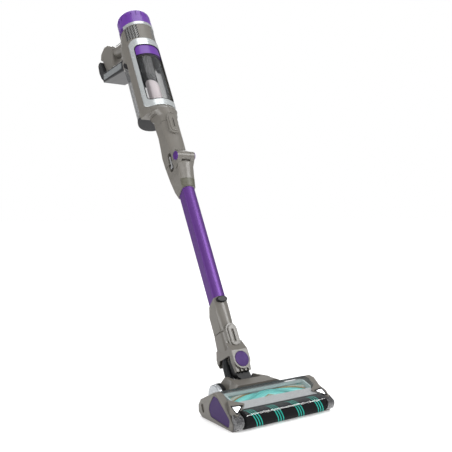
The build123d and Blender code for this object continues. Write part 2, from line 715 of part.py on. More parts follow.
def slant(s):
    """Seam plane across the stick, lower at the back than at the front."""
    back = math.sin(SEAM_SLANT)
    up = math.cos(SEAM_SLANT)
    normal = tuple(back * b + up * u for b, u in zip(STICK_BACK, STICK_UP))
    return Plane(origin=along(0, s), x_dir=(1, 0, 0), z_dir=normal)


with BuildPart() as wand_indicator:
    with BuildSketch(stick_front(-18)):
        with Locations((0, SLEEVE_TOP + 1)):
            Ellipse(14.5, 8)
    extrude(amount=8)
    fillet(wand_indicator.faces().sort_by(Axis((0, 0, 0), STICK_FRONT))[-1].edges(), 2.5)
export(wand_indicator, "wand_indicator")

with BuildPart() as wand_sleeve:
    with BuildSketch(stick(SOCKET_TOP)):
        add(wand_section(20, 25, 8, 22.5))
    with BuildSketch(stick(186)):
        add(wand_section(19.6, 25, 12, 21.6))
    with BuildSketch(stick(212)):
        add(wand_section(18.4, 14.4, 14, 21))
    with BuildSketch(stick(228)):
        add(wand_section(18.4, 14.4, 14, 21))
    loft(ruled=True)
    split(bisect_by=slant(SLEEVE_TOP), keep=Keep.BOTTOM)
    with BuildSketch(stick(SOCKET_TOP - 1)):
        Circle(AIRWAY_R)
    extrude(amount=100, mode=Mode.SUBTRACT)
    with BuildSketch(stick_front(BOSS_TOP_D - 4)):
        add(pill(BOSS_L, BOSS_W, LOWER_BUTTON_S, 0.2))
    extrude(amount=-19, mode=Mode.SUBTRACT)
    add(wand_indicator.part, mode=Mode.SUBTRACT)
export(wand_sleeve, "wand_sleeve")

TUBE_WALL = 1.8
TUBE_SECTION = (17.6, 13.6, 13.4, 20.2)     # half width, rear, shoulder and front
with BuildPart() as wand_tube:
    with BuildSketch(stick(200)):
        add(wand_section(*TUBE_SECTION, 4))
        tube_bore = [size - TUBE_WALL for size in TUBE_SECTION]
        add(wand_section(*tube_bore, 2.6), mode=Mode.SUBTRACT)
    extrude(amount=335)
    split(bisect_by=slant(SLEEVE_TOP + 0.1), keep=Keep.TOP)
    split(bisect_by=slant(TUBE_TOP), keep=Keep.BOTTOM)
    add(wand_indicator.part, mode=Mode.SUBTRACT)
export(wand_tube, "wand_tube")

# ---------------------------------------------------------------- folding joint
KNUCKLE_R = 12.0
KNUCKLE_HALF = 12.5
BARREL_HALF = 25.2
FOLD_GAP = 1.2
LATCH_PIVOT = (-1, 622)     # depth and height of the fold latch's pin


def fold_spot(x):
    """Plane across the fold hinge's axis at x."""
    return Plane(origin=along(FOLD_D, FOLD_S, x), x_dir=STICK_BACK, z_dir=(1, 0, 0))


def knuckle_outline(root_d, root_s):
    """Round knuckle drawn out to a small root on the shell; points are taken from the hinge."""
    with BuildSketch(mode=Mode.PRIVATE) as outline:
        Circle(KNUCKLE_R)
        with Locations((root_d - FOLD_D, root_s - FOLD_S)):
            Circle(6)
        make_hull()
    return outline.sketch


with BuildPart() as flex_lower_shell:
    with BuildSketch(stick(500)):
        add(wand_section(18.3, 14.3, 14, 20.9))
    with BuildSketch(stick(530)):
        add(wand_section(20, 26, 17, 22))
    with BuildSketch(stick(562)):
        add(wand_section(22.5, 30, 23, 30))
    with BuildSketch(stick(588)):
        add(wand_section(22.5, 34, 32, 37.5))
    with BuildSketch(stick(FOLD_S - FOLD_GAP / 2)):
        add(wand_section(22.5, 36, 33, 38))
    loft(ruled=True)
    split(bisect_by=slant(TUBE_TOP + 0.1), keep=Keep.TOP)
    for knuckle_x in (-BARREL_HALF, KNUCKLE_HALF + GAP):
        with BuildSketch(fold_spot(knuckle_x)):
            add(knuckle_outline(-20, 586))
        extrude(amount=BARREL_HALF - KNUCKLE_HALF - GAP)
    with BuildSketch(fold_spot(-KNUCKLE_HALF - GAP)):
        Circle(KNUCKLE_R + 3.6)
    extrude(amount=2 * (KNUCKLE_HALF + GAP), mode=Mode.SUBTRACT)
    with BuildSketch(fold_spot(-40)):
        Circle(3 + RUNNING)
    extrude(amount=80, mode=Mode.SUBTRACT)
    with BuildSketch(stick(490)):
        with Locations((0, 2.5)):
            Circle(AIRWAY_R)
    extrude(amount=130, mode=Mode.SUBTRACT)
    with BuildSketch(stick_side(-30)):
        with Locations((4, 601)):
            SlotOverall(36, 20, rotation=84)
    extrude(amount=14, mode=Mode.SUBTRACT)
export(flex_lower_shell, "flex_lower_shell")

with BuildPart() as flex_upper_shell:
    with BuildSketch(stick(FOLD_S + FOLD_GAP / 2)):
        add(wand_section(22.5, 37, 17, 25))
    with BuildSketch(stick(642)):
        add(wand_section(24, 36.5, 15, 23.5))
    with BuildSketch(stick(668)):
        add(wand_section(26, 32, 13, 23, 9))
    with BuildSketch(stick(700)):
        add(wand_section(26.5, 30, 12, 23.5, 12))
    with BuildSketch(stick(COUPLING_S - 0.2)):
        add(wand_section(26.5, 34, 12, 25.5, 14))
    loft(ruled=True)
    with BuildSketch(fold_spot(-KNUCKLE_HALF)):
        add(knuckle_outline(-16, 634))
    extrude(amount=2 * KNUCKLE_HALF)
    for clear_x in (-BARREL_HALF - 6, KNUCKLE_HALF):
        with BuildSketch(fold_spot(clear_x)):
            Circle(KNUCKLE_R + 1.2)
        extrude(amount=BARREL_HALF + 6 - KNUCKLE_HALF, mode=Mode.SUBTRACT)
    with BuildSketch(fold_spot(-40)):
        Circle(3)
    extrude(amount=80, mode=Mode.SUBTRACT)
    with BuildSketch(stick_front(BOSS_TOP_D - 1)):
        add(pill(BOSS_L + 4, BOSS_W, UPPER_BUTTON_S))
    extrude(amount=-14)
    with BuildSketch(stick(600)):
        with Locations((0, 4)):
            Circle(AIRWAY_R + 1.5)
    extrude(amount=135, mode=Mode.SUBTRACT)
    with BuildSketch(stick_side(-32)):
        with Locations((-1, 620)):
            SlotOverall(30, 17, rotation=100)
    extrude(amount=15, mode=Mode.SUBTRACT)
    with BuildSketch(stick_side(-32)):
        with Locations(LATCH_PIVOT):
            Circle(1.5)
    extrude(amount=18, mode=Mode.SUBTRACT)
    with BuildSketch(stick_front(BOSS_TOP_D - 2)):
        add(pill(BUTTON_L, BUTTON_W, UPPER_BUTTON_S, 0.3))
    extrude(amount=-13, mode=Mode.SUBTRACT)
export(flex_upper_shell, "flex_upper_shell")
upper_release_button = release_button(UPPER_BUTTON_S, "upper_release_button")

with BuildPart() as fold_pins:
    with BuildSketch(fold_spot(-BARREL_HALF + 0.3)):
        Circle(3)
    extrude(amount=2 * BARREL_HALF - 0.6)
    with BuildSketch(stick_side(-21.5)):
        with Locations(LATCH_PIVOT):
            Circle(1.5)
    extrude(amount=6.5)
export(fold_pins, "fold_pins")

with BuildPart() as fold_caps:
    with BuildSketch(fold_spot(BARREL_HALF)):
        Circle(KNUCKLE_R - 0.6)
    extrude(amount=2.2)
    fillet(fold_caps.faces().sort_by(Axis.X)[-1].edges(), 1)
    mirror(about=Plane.YZ)
export(fold_caps, "fold_caps")

# Hook on the side of the upper shell that locks the fold, turned about a small pin.
with BuildPart() as fold_latch:
    with BuildSketch(stick_side(-22.2)):
        with Locations(LATCH_PIVOT):
            Circle(4)
        Polygon((-4, 622), (2.5, 622), (3.5, 600), (8, 598), (8, 592), (-3, 592), align=None)
    extrude(amount=3.2)
    with BuildSketch(stick_side(-30)):
        with Locations(LATCH_PIVOT):
            Circle(1.5 + RUNNING)
    extrude(amount=20, mode=Mode.SUBTRACT)
export(fold_latch, "fold_latch")

with BuildPart() as flex_hose:
    with BuildSketch(stick(530)):
        with Locations((0, 3)):
            Circle(AIRWAY_R - 0.9)
            Circle(AIRWAY_R - 2.9, mode=Mode.SUBTRACT)
    extrude(amount=150)
export(flex_hose, "flex_hose")

# ---------------------------------------------------------------- hand unit: frame and nose
BIN_WALL = 2.0
SHELL_IN = 50.5
BEZEL_T = 1.6
WINDOW_HALF = 40.8
WINDOW_LOW = 806.0
WINDOW_TOP = 996.0
REAR_FACE = 78.5            # back of the hand unit behind the motor
CYCLONE_R = 44.0
LID_FOOT = (43.0, 963.4)    # the seam over the bin rises from here to the heel at the back
LID_HEEL = (106.0, 982.6)
LID_SIDE = [LID_FOOT, LID_HEEL, (106, 988.3), (88, 979.9), (78, 993.8), (LID_FOOT[0], 993.8)]
DOOR_HINGE = (42.0, 784.0)
DOOR_PIN_R = 1.2
# hollow under each side of the nose, from the wand up to the bin's door
NOSE_UNDERCUT = [
    (-13, 720), (-13, 735), (-10, 749), (-8, 757), (-3, 763), (10, 767), (24, 769), (60, 769), (60, 720),
]
SLIDE_OUTLINE = [(40, 947), (44, 947), (56, 962), (56, 973), (48, 973), (40, 960)]


def round_column(depth, radius, low, high, inner=0.0):
    """Cylinder or tube standing on the stick's cross plane at depth and height."""
    with BuildPart(mode=Mode.PRIVATE) as column:
        with BuildSketch(stick(low)):
            with Locations((0, depth)):
                Circle(radius)
                if inner:
                    Circle(inner, mode=Mode.SUBTRACT)
        extrude(amount=high - low)
    return column.part


def panel_outline(half_width, low, high, corner):
    """Upright rounded rectangle on a plane that faces the front."""
    with BuildSketch(mode=Mode.PRIVATE) as outline:
        with Locations((0, (low + high) / 2)):
            RectangleRounded(2 * half_width, high - low, corner)
    return outline.sketch


def housing_outline(depth, radius, back, back_half):
    """Round front joined by flat sides to a narrower back."""
    with BuildSketch(mode=Mode.PRIVATE) as outline:
        with Locations((0, depth)):
            Circle(radius)
        with Locations((0, back - 8)):
            RectangleRounded(2 * back_half, 16, 5)
        make_hull()
        with Locations((0, back)):
            Rectangle(120, 60, align=(Align.CENTER, Align.MIN), mode=Mode.SUBTRACT)
    return outline.sketch


with BuildPart() as main_frame:
    with BuildSketch(stick(COUPLING_S + 0.2)):
        add(wand_section(26.5, 33, 13, 27, 14))
    with BuildSketch(stick(750)):
        add(wand_section(27, 33, 12, 29, 14))
    with BuildSketch(stick(COLLAR_S)):
        add(wand_section(38, 36, 4, 29, 14))
    with BuildSketch(stick(BIN_LOW)):
        add(wand_section(42, 36, -3, 15.7, 14))
    loft(ruled=True)
    for under_x in (-60, 27):
        with BuildSketch(stick_side(under_x)):
            Polygon(*NOSE_UNDERCUT, align=None)
        extrude(amount=33, mode=Mode.SUBTRACT)
    with BuildSketch(stick(COLLAR_S + 2)):
        with Locations((0, BIN_D)):
            Circle(BIN_R)
            Rectangle(120, 80, align=(Align.CENTER, Align.MIN), mode=Mode.SUBTRACT)
    extrude(amount=BIN_LOW - COLLAR_S - 2)
    # shell round the bin's front, open at the back and with a window
    with BuildSketch(stick(BIN_LOW)):
        with Locations((0, BIN_D)):
            Circle(BIN_R)
            Circle(SHELL_IN, mode=Mode.SUBTRACT)
            Rectangle(120, 80, align=(Align.CENTER, Align.MIN), mode=Mode.SUBTRACT)
    extrude(amount=BAND_TOP - BIN_LOW)
    with BuildSketch(stick(BIN_TOP + 1)):
        add(housing_outline(BIN_D, BIN_R, REAR_FACE, 36))
    extrude(amount=HOUSING_LOW - BIN_TOP - 1.2)
    with BuildSketch(stick(BIN_TOP)):
        add(bin_outline(-1.5))
    lid_column = extrude(amount=40, mode=Mode.PRIVATE)
    with BuildSketch(stick_side(-60)):
        Polygon(*LID_SIDE, align=None)
    lid_slice = extrude(amount=120, mode=Mode.PRIVATE)
    add(lid_column & lid_slice)
    with BuildSketch(stick_side(-60)):
        Polygon((LID_FOOT[0], 940), LID_FOOT, LID_HEEL, (LID_HEEL[0] + 5, 940), align=None)
    extrude(amount=120, mode=Mode.SUBTRACT)
    add(round_column(BIN_D, CYCLONE_R, BIN_TOP, HOUSING_LOW - 4), mode=Mode.SUBTRACT)
    for slide_x in (-BIN_R - 6, SHELL_IN + 0.1):
        with BuildSketch(stick_side(slide_x)) as slide_space:
            Polygon(*SLIDE_OUTLINE, align=None)
            offset(amount=0.4)
        extrude(amount=BIN_R + 5.9 - SHELL_IN, mode=Mode.SUBTRACT)
    with BuildSketch(stick_front(-30)):
        add(panel_outline(WINDOW_HALF, WINDOW_LOW, BIN_TOP, 9))
    extrude(amount=-(BIN_D + 30), mode=Mode.SUBTRACT)
    # rebate for the band
    band_space = round_column(BIN_D, BIN_R + 1, BIN_TOP - 8, BAND_TOP + 0.3, SHELL_IN)
    with BuildSketch(stick_front(-30)):
        add(panel_outline(WINDOW_HALF, WINDOW_LOW, BAND_TOP + 0.3, 9))
    band_cut = extrude(amount=-(BIN_D + 30), mode=Mode.PRIVATE)
    add(band_space & band_cut, mode=Mode.SUBTRACT)
    # airway from the wand to the bin
    with BuildSketch(stick(COUPLING_S - 1)):
        with Locations((0, 4)):
            Circle(AIRWAY_R + 1.5)
    with BuildSketch(stick(BIN_LOW + 0.1)):
        with Locations((0, 20)):
            Circle(AIRWAY_R + 1.5)
    loft(mode=Mode.SUBTRACT)
    with BuildSketch(stick_front(BOSS_TOP_D - 4)):
        add(pill(BOSS_L + 4, BOSS_W, UPPER_BUTTON_S, 0.3))
    extrude(amount=-18, mode=Mode.SUBTRACT)
    # lugs on both sides of the bin's door and the pin that it swings on
    for lug_x in (-BIN_R, BIN_R - 1.6):
        with BuildSketch(stick_side(lug_x)):
            Polygon((36, 780), (44.5, 780), (44.5, 785.9), (36, 785.9), align=None)
        extrude(amount=1.6)
    with BuildSketch(stick_side(-BIN_R)):
        with Locations(DOOR_HINGE):
            Circle(DOOR_PIN_R)
    extrude(amount=2 * BIN_R)
export(main_frame, "main_frame")

with BuildPart() as window_bezel:
    add(round_column(BIN_D, BIN_R + BEZEL_T, BIN_LOW, HOUSING_LOW, BIN_R))
    with BuildSketch(stick_front(-30)):
        add(panel_outline(48.5, BIN_LOW + 0.3, HOUSING_LOW - 0.3, 14))
        add(panel_outline(WINDOW_HALF, WINDOW_LOW, WINDOW_TOP, 12), mode=Mode.SUBTRACT)
    extrude(amount=-(BIN_D + 30), mode=Mode.INTERSECT)
export(window_bezel, "window_bezel")

with BuildPart() as bin_band:
    add(round_column(BIN_D, BIN_R - 0.4, BIN_TOP + 0.3, BAND_TOP, SHELL_IN))
    with BuildSketch(stick_front(-30)):
        add(panel_outline(WINDOW_HALF - 0.3, WINDOW_LOW, BAND_TOP, 9))
    extrude(amount=-(BIN_D + 30), mode=Mode.INTERSECT)
export(bin_band, "bin_band")

# ---------------------------------------------------------------- dust bin and what is inside it
with BuildPart() as dust_bin:
    with BuildSketch(stick(BIN_LOW + 2)):
        add(bin_outline())
        add(bin_outline(BIN_WALL), mode=Mode.SUBTRACT)
    extrude(amount=LID_HEEL[1] - BIN_LOW)
    with BuildSketch(stick_side(-60)):
        bin_seam = [(-30, BIN_TOP), (LID_FOOT[0], BIN_TOP), (LID_HEEL[0], LID_HEEL[1] - 0.4)]
        Polygon(*bin_seam, (110, 1000), (-30, 1000), align=None)
    extrude(amount=120, mode=Mode.SUBTRACT)
export(dust_bin, "dust_bin")

with BuildPart() as cyclone_shroud:
    add(round_column(BIN_D + 3, 29, 890, HOUSING_LOW - 4, 26))
    with Locations(Plane(origin=along(BIN_D + 3, 914), x_dir=(1, 0, 0), z_dir=STICK_UP)):
        with Locations(Location((0, 0, 0), (0, 28, 0))):
            Box(120, 120, 60, align=(Align.CENTER, Align.CENTER, Align.MAX), mode=Mode.SUBTRACT)
export(cyclone_shroud, "cyclone_shroud")

with BuildPart() as inlet_tower:
    add(round_column(20, 18, BIN_LOW, 846, AIRWAY_R + 1.5))
    with BuildSketch(stick(846)):
        with Locations((0, 20)):
            Circle(18)
            Circle(AIRWAY_R + 1.5, mode=Mode.SUBTRACT)
    extrude(amount=60)
    with Locations(Plane(origin=along(20, 880), x_dir=(1, 0, 0), z_dir=STICK_UP)):
        with Locations(Location((0, 0, 0), (0, 28, 0))):
            Box(120, 120, 60, align=(Align.CENTER, Align.CENTER, Align.MIN), mode=Mode.SUBTRACT)
export(inlet_tower, "inlet_tower")

DOOR_FRONT = BIN_D + 2
with BuildPart() as bin_door:
    with BuildSketch(stick(BIN_LOW - 5)):
        add(bin_outline(-1.5))
        with Locations((0, DOOR_FRONT)):
            Rectangle(130, 90, align=(Align.CENTER, Align.MAX), mode=Mode.SUBTRACT)
    extrude(amount=5)
    with BuildSketch(stick(BIN_LOW)):
        add(bin_outline(BIN_WALL + 0.5))
        add(bin_outline(BIN_WALL + 4), mode=Mode.SUBTRACT)
        with Locations((0, DOOR_FRONT + 7)):
            Rectangle(130, 90, align=(Align.CENTER, Align.MAX), mode=Mode.SUBTRACT)
    extrude(amount=4)
    with BuildSketch(stick_side(-60)):
        with Locations(DOOR_HINGE):
            Circle(DOOR_PIN_R + RUNNING)
    extrude(amount=120, mode=Mode.SUBTRACT)
export(bin_door, "bin_door")

# Slide on each side of the bin's top that frees it, joined by a bow inside the frame.
with BuildPart() as bin_latches:
    for wedge_x in (-BIN_R - 0.6, SHELL_IN + 0.4):
        with BuildSketch(stick_side(wedge_x)):
            Polygon(*SLIDE_OUTLINE, align=None)
        extrude(amount=3.7)
export(bin_latches, "bin_latches")

# ---------------------------------------------------------------- motor housing, filter cap
BRACKET_FACE = REAR_FACE + 1.5
VENT_MIDDLE = HOUSING_LOW + 26.3


def housing_form(inset=0.0):
    """Column that narrows from the bin's outline to the motor's, with a flat back."""
    with BuildPart(mode=Mode.PRIVATE) as form:
        with BuildSketch(stick(HOUSING_LOW)):
            add(housing_outline(BIN_D, BIN_R - inset, BRACKET_FACE - inset, 24))
        with BuildSketch(stick(RING_LOW)):
            add(housing_outline(MOTOR_D, MOTOR_R - inset, BRACKET_FACE - inset, 20))
        loft(ruled=True)
    return form.part


def vent_wedge(turn, half_angle, half_height):
    """Wedge from the motor's axis out through the wall on one side of the front."""
    reach = 75.0
    with BuildPart(mode=Mode.PRIVATE) as wedge:
        with BuildSketch(stick(VENT_MIDDLE - half_height)):
            with BuildLine():
                corners = [(0, MOTOR_D)]
                for swing in (turn - half_angle, turn + half_angle):
                    swing_rad = math.radians(swing)
                    corners.append((reach * math.sin(swing_rad), MOTOR_D - reach * math.cos(swing_rad)))
                Polyline(*corners, close=True)
            make_face()
        extrude(amount=2 * half_height)
    return wedge.part


with BuildPart() as motor_housing:
    add(housing_form())
    add(round_column(MOTOR_D, 41, HOUSING_LOW + 4, RING_LOW + 1), mode=Mode.SUBTRACT)
    for vent_turn in (-50, 50):
        add(vent_wedge(vent_turn, 24, 22), mode=Mode.SUBTRACT)
export(motor_housing, "motor_housing")

SLAT_ROWS = 6
with BuildPart() as vent_grilles:
    for vent_turn in (-50, 50):
        turn_rad = math.radians(vent_turn)
        ahead = math.cos(turn_rad)
        sideways = math.sin(turn_rad)
        outwards = (sideways, -ahead * STICK_BACK[1], -ahead * STICK_BACK[2])
        across = (ahead, sideways * STICK_BACK[1], sideways * STICK_BACK[2])
        with BuildPart(mode=Mode.PRIVATE) as panel:
            add(housing_form(0.6))
            add(housing_form(3.4), mode=Mode.SUBTRACT)
            add(vent_wedge(vent_turn, 23.7, 21.7), mode=Mode.INTERSECT)
            with BuildSketch(Plane(origin=along(MOTOR_D, VENT_MIDDLE), x_dir=across, z_dir=outwards)):
                with GridLocations(8.4, 7.4, 5, SLAT_ROWS):
                    SlotOverall(9, 3.2, rotation=55 if vent_turn < 0 else -55)
            extrude(amount=70, mode=Mode.SUBTRACT)
        add(panel.part)
export(vent_grilles, "vent_grilles")

with BuildPart() as motor_ring:
    add(round_column(MOTOR_D, MOTOR_R + 1.2, RING_LOW, CAP_LOW - 0.4, MOTOR_R - 3.5))
    add(round_column(MOTOR_D, MOTOR_R - 3, RING_LOW, RING_LOW + 4, 26))
export(motor_ring, "motor_ring")

with BuildPart() as suction_motor:
    add(round_column(MOTOR_D, 36, HOUSING_LOW + 4, RING_LOW - 4))
    add(round_column(MOTOR_D, 22, RING_LOW - 4, RING_LOW + 8))
export(suction_motor, "suction_motor")

with BuildPart() as exhaust_filter:
    add(round_column(MOTOR_D, 41, RING_LOW + 4, CAP_LOW + 30, 29))
export(exhaust_filter, "exhaust_filter")

CAP_R = 50.0
NOTCHES = 20
with BuildPart() as filter_cap:
    with BuildSketch(stick_side(0)):
        with BuildLine():
            Line((MOTOR_D, CAP_LOW), (MOTOR_D + CAP_R, CAP_LOW))
            Line((MOTOR_D + CAP_R, CAP_LOW), (MOTOR_D + CAP_R - 0.8, CAP_LOW + 20))
            Spline(
                (MOTOR_D + CAP_R - 0.8, CAP_LOW + 20),
                (MOTOR_D + CAP_R - 5, CAP_TOP - 9),
                (MOTOR_D + 30, CAP_TOP - 1.2),
                (MOTOR_D, CAP_TOP),
                tangents=[(-0.04, 1), (-1, 0)],
            )
            Line((MOTOR_D, CAP_TOP), (MOTOR_D, CAP_LOW))
        make_face()
    revolve(axis=Axis(along(MOTOR_D, 0), STICK_UP))
    add(round_column(MOTOR_D, CAP_R - 4, CAP_LOW - 1, CAP_LOW + 22), mode=Mode.SUBTRACT)
    add(round_column(MOTOR_D, 42.5, CAP_LOW, CAP_TOP - 11), mode=Mode.SUBTRACT)
    with BuildSketch(stick(CAP_LOW + 24)):
        with Locations((0, MOTOR_D)):
            with PolarLocations(CAP_R + 0.2, NOTCHES):
                RectangleRounded(5.2, 3.4, 0.8)
    extrude(amount=30, mode=Mode.SUBTRACT)
export(filter_cap, "filter_cap")

# ---------------------------------------------------------------- handle
GRIP_R = 18.5
GRIP_FRONT = (84.0, 1081.6)
tilt_cos = math.cos(math.radians(BATTERY_TILT))
tilt_sin = math.sin(math.radians(BATTERY_TILT))
GRIP_ALONG = tuple(back * tilt_cos + up * tilt_sin for back, up in zip(STICK_BACK, STICK_UP))
BATTERY_CORNER = (81.0, 1015.0)
LOBE_HALF = 22.0


def grip_plane(shift):
    """Plane across the grip, local x across, local y downwards."""
    point = (GRIP_FRONT[0] + shift * tilt_cos, GRIP_FRONT[1] + shift * tilt_sin)
    return Plane(origin=along(*point), x_dir=(1, 0, 0), z_dir=GRIP_ALONG)


def battery_point(u, v):
    """Depth and height of a point given along the battery's top from its front corner and above it."""
    return (BATTERY_CORNER[0] + u * tilt_cos - v * tilt_sin, BATTERY_CORNER[1] + u * tilt_sin + v * tilt_cos)


LOBE_OUTLINE = [
    (150, 1130), (176, 1156), (198, 1167), (229, 1163), (240, 1147), (228.8, 1133.5), (222.2, 1100),
    battery_point(149.5, 0.6), battery_point(92, 0.6), (166, 1072), (162, 1095),
]
SPINE_OUTLINE = [
    (BRACKET_FACE + 0.1, 1018), (BRACKET_FACE + 0.1, 1094), (94, 1098), (104, 1076), (95, 1064), (90.5, 1050),
    (90.5, 1038), (98, 1031), battery_point(20, 0.6), battery_point(1, 0.6),
]
with BuildPart() as handle_frame:
    with BuildSketch(stick_side(-LOBE_HALF)):
        Polygon(*LOBE_OUTLINE, align=None)
    extrude(amount=2 * LOBE_HALF)
    lobe_rim = handle_frame.faces().filter_by(Axis.X).edges()
    fillet(lobe_rim, 4.5)
    with BuildSketch(stick_side(-13)):
        Polygon(*SPINE_OUTLINE, align=None)
    extrude(amount=26)
    with BuildSketch(grip_plane(-20)):
        Circle(GRIP_R)
    extrude(amount=105)
    with BuildSketch(stick_side(-27)):
        rail = [battery_point(u, v) for u, v in ((0.5, 0.6), (0.5, 6.6), (120, 6.6), (120, 0.6))]
        Polygon(*rail, align=None)
    extrude(amount=54)
    with BuildSketch(stick_side(-60)):
        Polygon((40, 900), (BRACKET_FACE + 0.1, 900), (BRACKET_FACE + 0.1, 1180), (40, 1180), align=None)
    extrude(amount=120, mode=Mode.SUBTRACT)
    with BuildSketch(stick_side(-8.3)):
        Polygon((84, 1040), (84, 1062), (110, 1062), (110, 1040), align=None)
    extrude(amount=16.6, mode=Mode.SUBTRACT)
export(handle_frame, "handle_frame")

with BuildPart() as grip_pad:
    with BuildSketch(grip_plane(16)):
        Circle(GRIP_R + 1.4)
        Circle(GRIP_R, mode=Mode.SUBTRACT)
        Rectangle(27, 60, align=(Align.CENTER, Align.MAX), mode=Mode.INTERSECT)
    extrude(amount=50)
export(grip_pad, "grip_pad")

with BuildPart() as trigger:
    with BuildSketch(stick_side(-8)):
        Polygon((88.3, 1040.4), (88.3, 1061.6), (97, 1061.6), (101, 1052), (98, 1040.4), align=None)
    extrude(amount=16)
    trigger_edges = trigger.edges().filter_by(Axis.X).sort_by(Axis.Y)[-3:]
    fillet(trigger_edges, 1.5)
export(trigger, "trigger")

# ---------------------------------------------------------------- battery
BATTERY_HALF = 38.0
CAP_HALF = 31.0
REAR_CAP_OUTLINE = [
    (219.4, 1074.5), (223, 1100), (229.6, 1130.5), (240, 1132), (247, 1127),
    (250, 1101), (244, 1076), (226, 1046.5), (216, 1050),
]
with BuildPart() as battery_case:
    with BuildSketch(stick_side(-BATTERY_HALF)):
        Polygon((81.3, 1014.9), (79.2, 994), (88, 981), (226, 1046.5), (219.2, 1074), align=None)
    extrude(amount=2 * BATTERY_HALF)
    case_rim = battery_case.faces().filter_by(Axis.X).edges()
    fillet(case_rim, 3)
    with BuildSketch(stick_side(-CAP_HALF)):
        Polygon(*REAR_CAP_OUTLINE, align=None)
    extrude(amount=2 * CAP_HALF)
    with BuildSketch(stick_front(260)):
        with Locations((0, 1106)):
            RectangleRounded(30.6, 26.6, 5)
    extrude(amount=18, mode=Mode.SUBTRACT)
export(battery_case, "battery_case")

with BuildPart() as battery_latch:
    with BuildSketch(stick_front(249)):
        with Locations((0, 1106)):
            RectangleRounded(30, 26, 4.7)
    extrude(amount=4.6)
export(battery_latch, "battery_latch")

with BuildPart() as battery_strips:
    with BuildSketch(stick_side(-BATTERY_HALF - 1.2)) as strip_outline:
        strip_corners = [battery_point(u, v) for u, v in ((6, -6), (138, -8), (138, -25), (8, -23))]
        Polygon(*strip_corners, align=None)
        fillet(strip_outline.vertices(), 5)
    extrude(amount=1.2)
    mirror(about=Plane.YZ)
export(battery_strips, "battery_strips")
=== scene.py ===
import json
import math
import bmesh
import bpy
from mathutils import Matrix, Vector
from mathutils.noise import noise as mathutils_noise


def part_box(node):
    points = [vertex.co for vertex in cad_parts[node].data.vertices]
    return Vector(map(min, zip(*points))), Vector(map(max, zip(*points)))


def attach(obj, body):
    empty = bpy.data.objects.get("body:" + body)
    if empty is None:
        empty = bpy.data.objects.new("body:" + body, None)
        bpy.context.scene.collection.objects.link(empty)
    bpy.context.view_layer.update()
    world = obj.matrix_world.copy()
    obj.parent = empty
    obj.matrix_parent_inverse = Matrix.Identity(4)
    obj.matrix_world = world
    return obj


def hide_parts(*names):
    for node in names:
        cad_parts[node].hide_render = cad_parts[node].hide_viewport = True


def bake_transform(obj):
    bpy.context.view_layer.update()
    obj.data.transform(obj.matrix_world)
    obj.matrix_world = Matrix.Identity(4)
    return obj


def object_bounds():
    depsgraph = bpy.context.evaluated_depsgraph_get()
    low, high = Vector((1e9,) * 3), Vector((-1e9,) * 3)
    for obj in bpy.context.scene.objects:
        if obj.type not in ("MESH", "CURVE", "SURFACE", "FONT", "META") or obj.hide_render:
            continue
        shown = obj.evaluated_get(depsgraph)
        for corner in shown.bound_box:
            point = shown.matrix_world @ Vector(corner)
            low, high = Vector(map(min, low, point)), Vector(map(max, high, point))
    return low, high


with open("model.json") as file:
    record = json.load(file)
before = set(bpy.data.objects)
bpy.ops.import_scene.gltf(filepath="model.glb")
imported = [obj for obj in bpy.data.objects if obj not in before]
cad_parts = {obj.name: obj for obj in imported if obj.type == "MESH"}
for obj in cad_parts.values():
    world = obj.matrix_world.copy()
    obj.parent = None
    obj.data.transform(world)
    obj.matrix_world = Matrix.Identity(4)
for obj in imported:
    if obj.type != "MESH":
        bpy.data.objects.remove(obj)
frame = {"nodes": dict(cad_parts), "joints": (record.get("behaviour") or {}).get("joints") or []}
cad_low, cad_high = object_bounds()
nodes = frame["nodes"]
joints = {joint["name"]: joint for joint in frame["joints"]}
MM = 0.001

# ---------------------------------------------------------------- directions taken from the joints
UP = Vector(joints["filter_lid_twist"]["axis"]).normalized()
BACK = -Vector(joints["neck_swivel"]["axis"]).normalized()
SIDE = Vector((1, 0, 0))
AXLE = Vector(joints["head_tilt"]["pos_m"])
FOLD = Vector(joints["wand_fold"]["pos_m"])


def along(x, depth, height):
    """A point of the stick: across, towards the back and up from the rear axle, in millimetres."""
    return AXLE + SIDE * x * MM + BACK * depth * MM + UP * height * MM


# ---------------------------------------------------------------- materials
def new_material(name):
    """An empty Principled material and its main nodes."""
    material = bpy.data.materials.new(name)
    material.use_nodes = True
    tree = material.node_tree
    shader = tree.nodes["Principled BSDF"]
    return material, tree, shader


def object_point(tree):
    """The surface point in metres."""
    return tree.nodes.new("ShaderNodeTexCoord").outputs["Object"]


def noise(tree, point, scale, detail=3.0, roughness=0.5):
    """Noise with that many features to the metre."""
    node = tree.nodes.new("ShaderNodeTexNoise")
    node.inputs["Scale"].default_value = scale
    node.inputs["Detail"].default_value = detail
    node.inputs["Roughness"].default_value = roughness
    tree.links.new(point, node.inputs["Vector"])
    return node.outputs["Fac"]


def spread(tree, value, low, high):
    """Maps 0..1 to low..high."""
    node = tree.nodes.new("ShaderNodeMapRange")
    node.inputs["To Min"].default_value = low
    node.inputs["To Max"].default_value = high
    tree.links.new(value, node.inputs["Value"])
    return node.outputs["Result"]


def tint(tree, value, dark, light):
    """Colour between two colours by a 0..1 value."""
    node = tree.nodes.new("ShaderNodeMix")
    node.data_type = "RGBA"
    node.inputs["A"].default_value = (*dark, 1)
    node.inputs["B"].default_value = (*light, 1)
    tree.links.new(value, node.inputs["Factor"])
    return node.outputs["Result"]


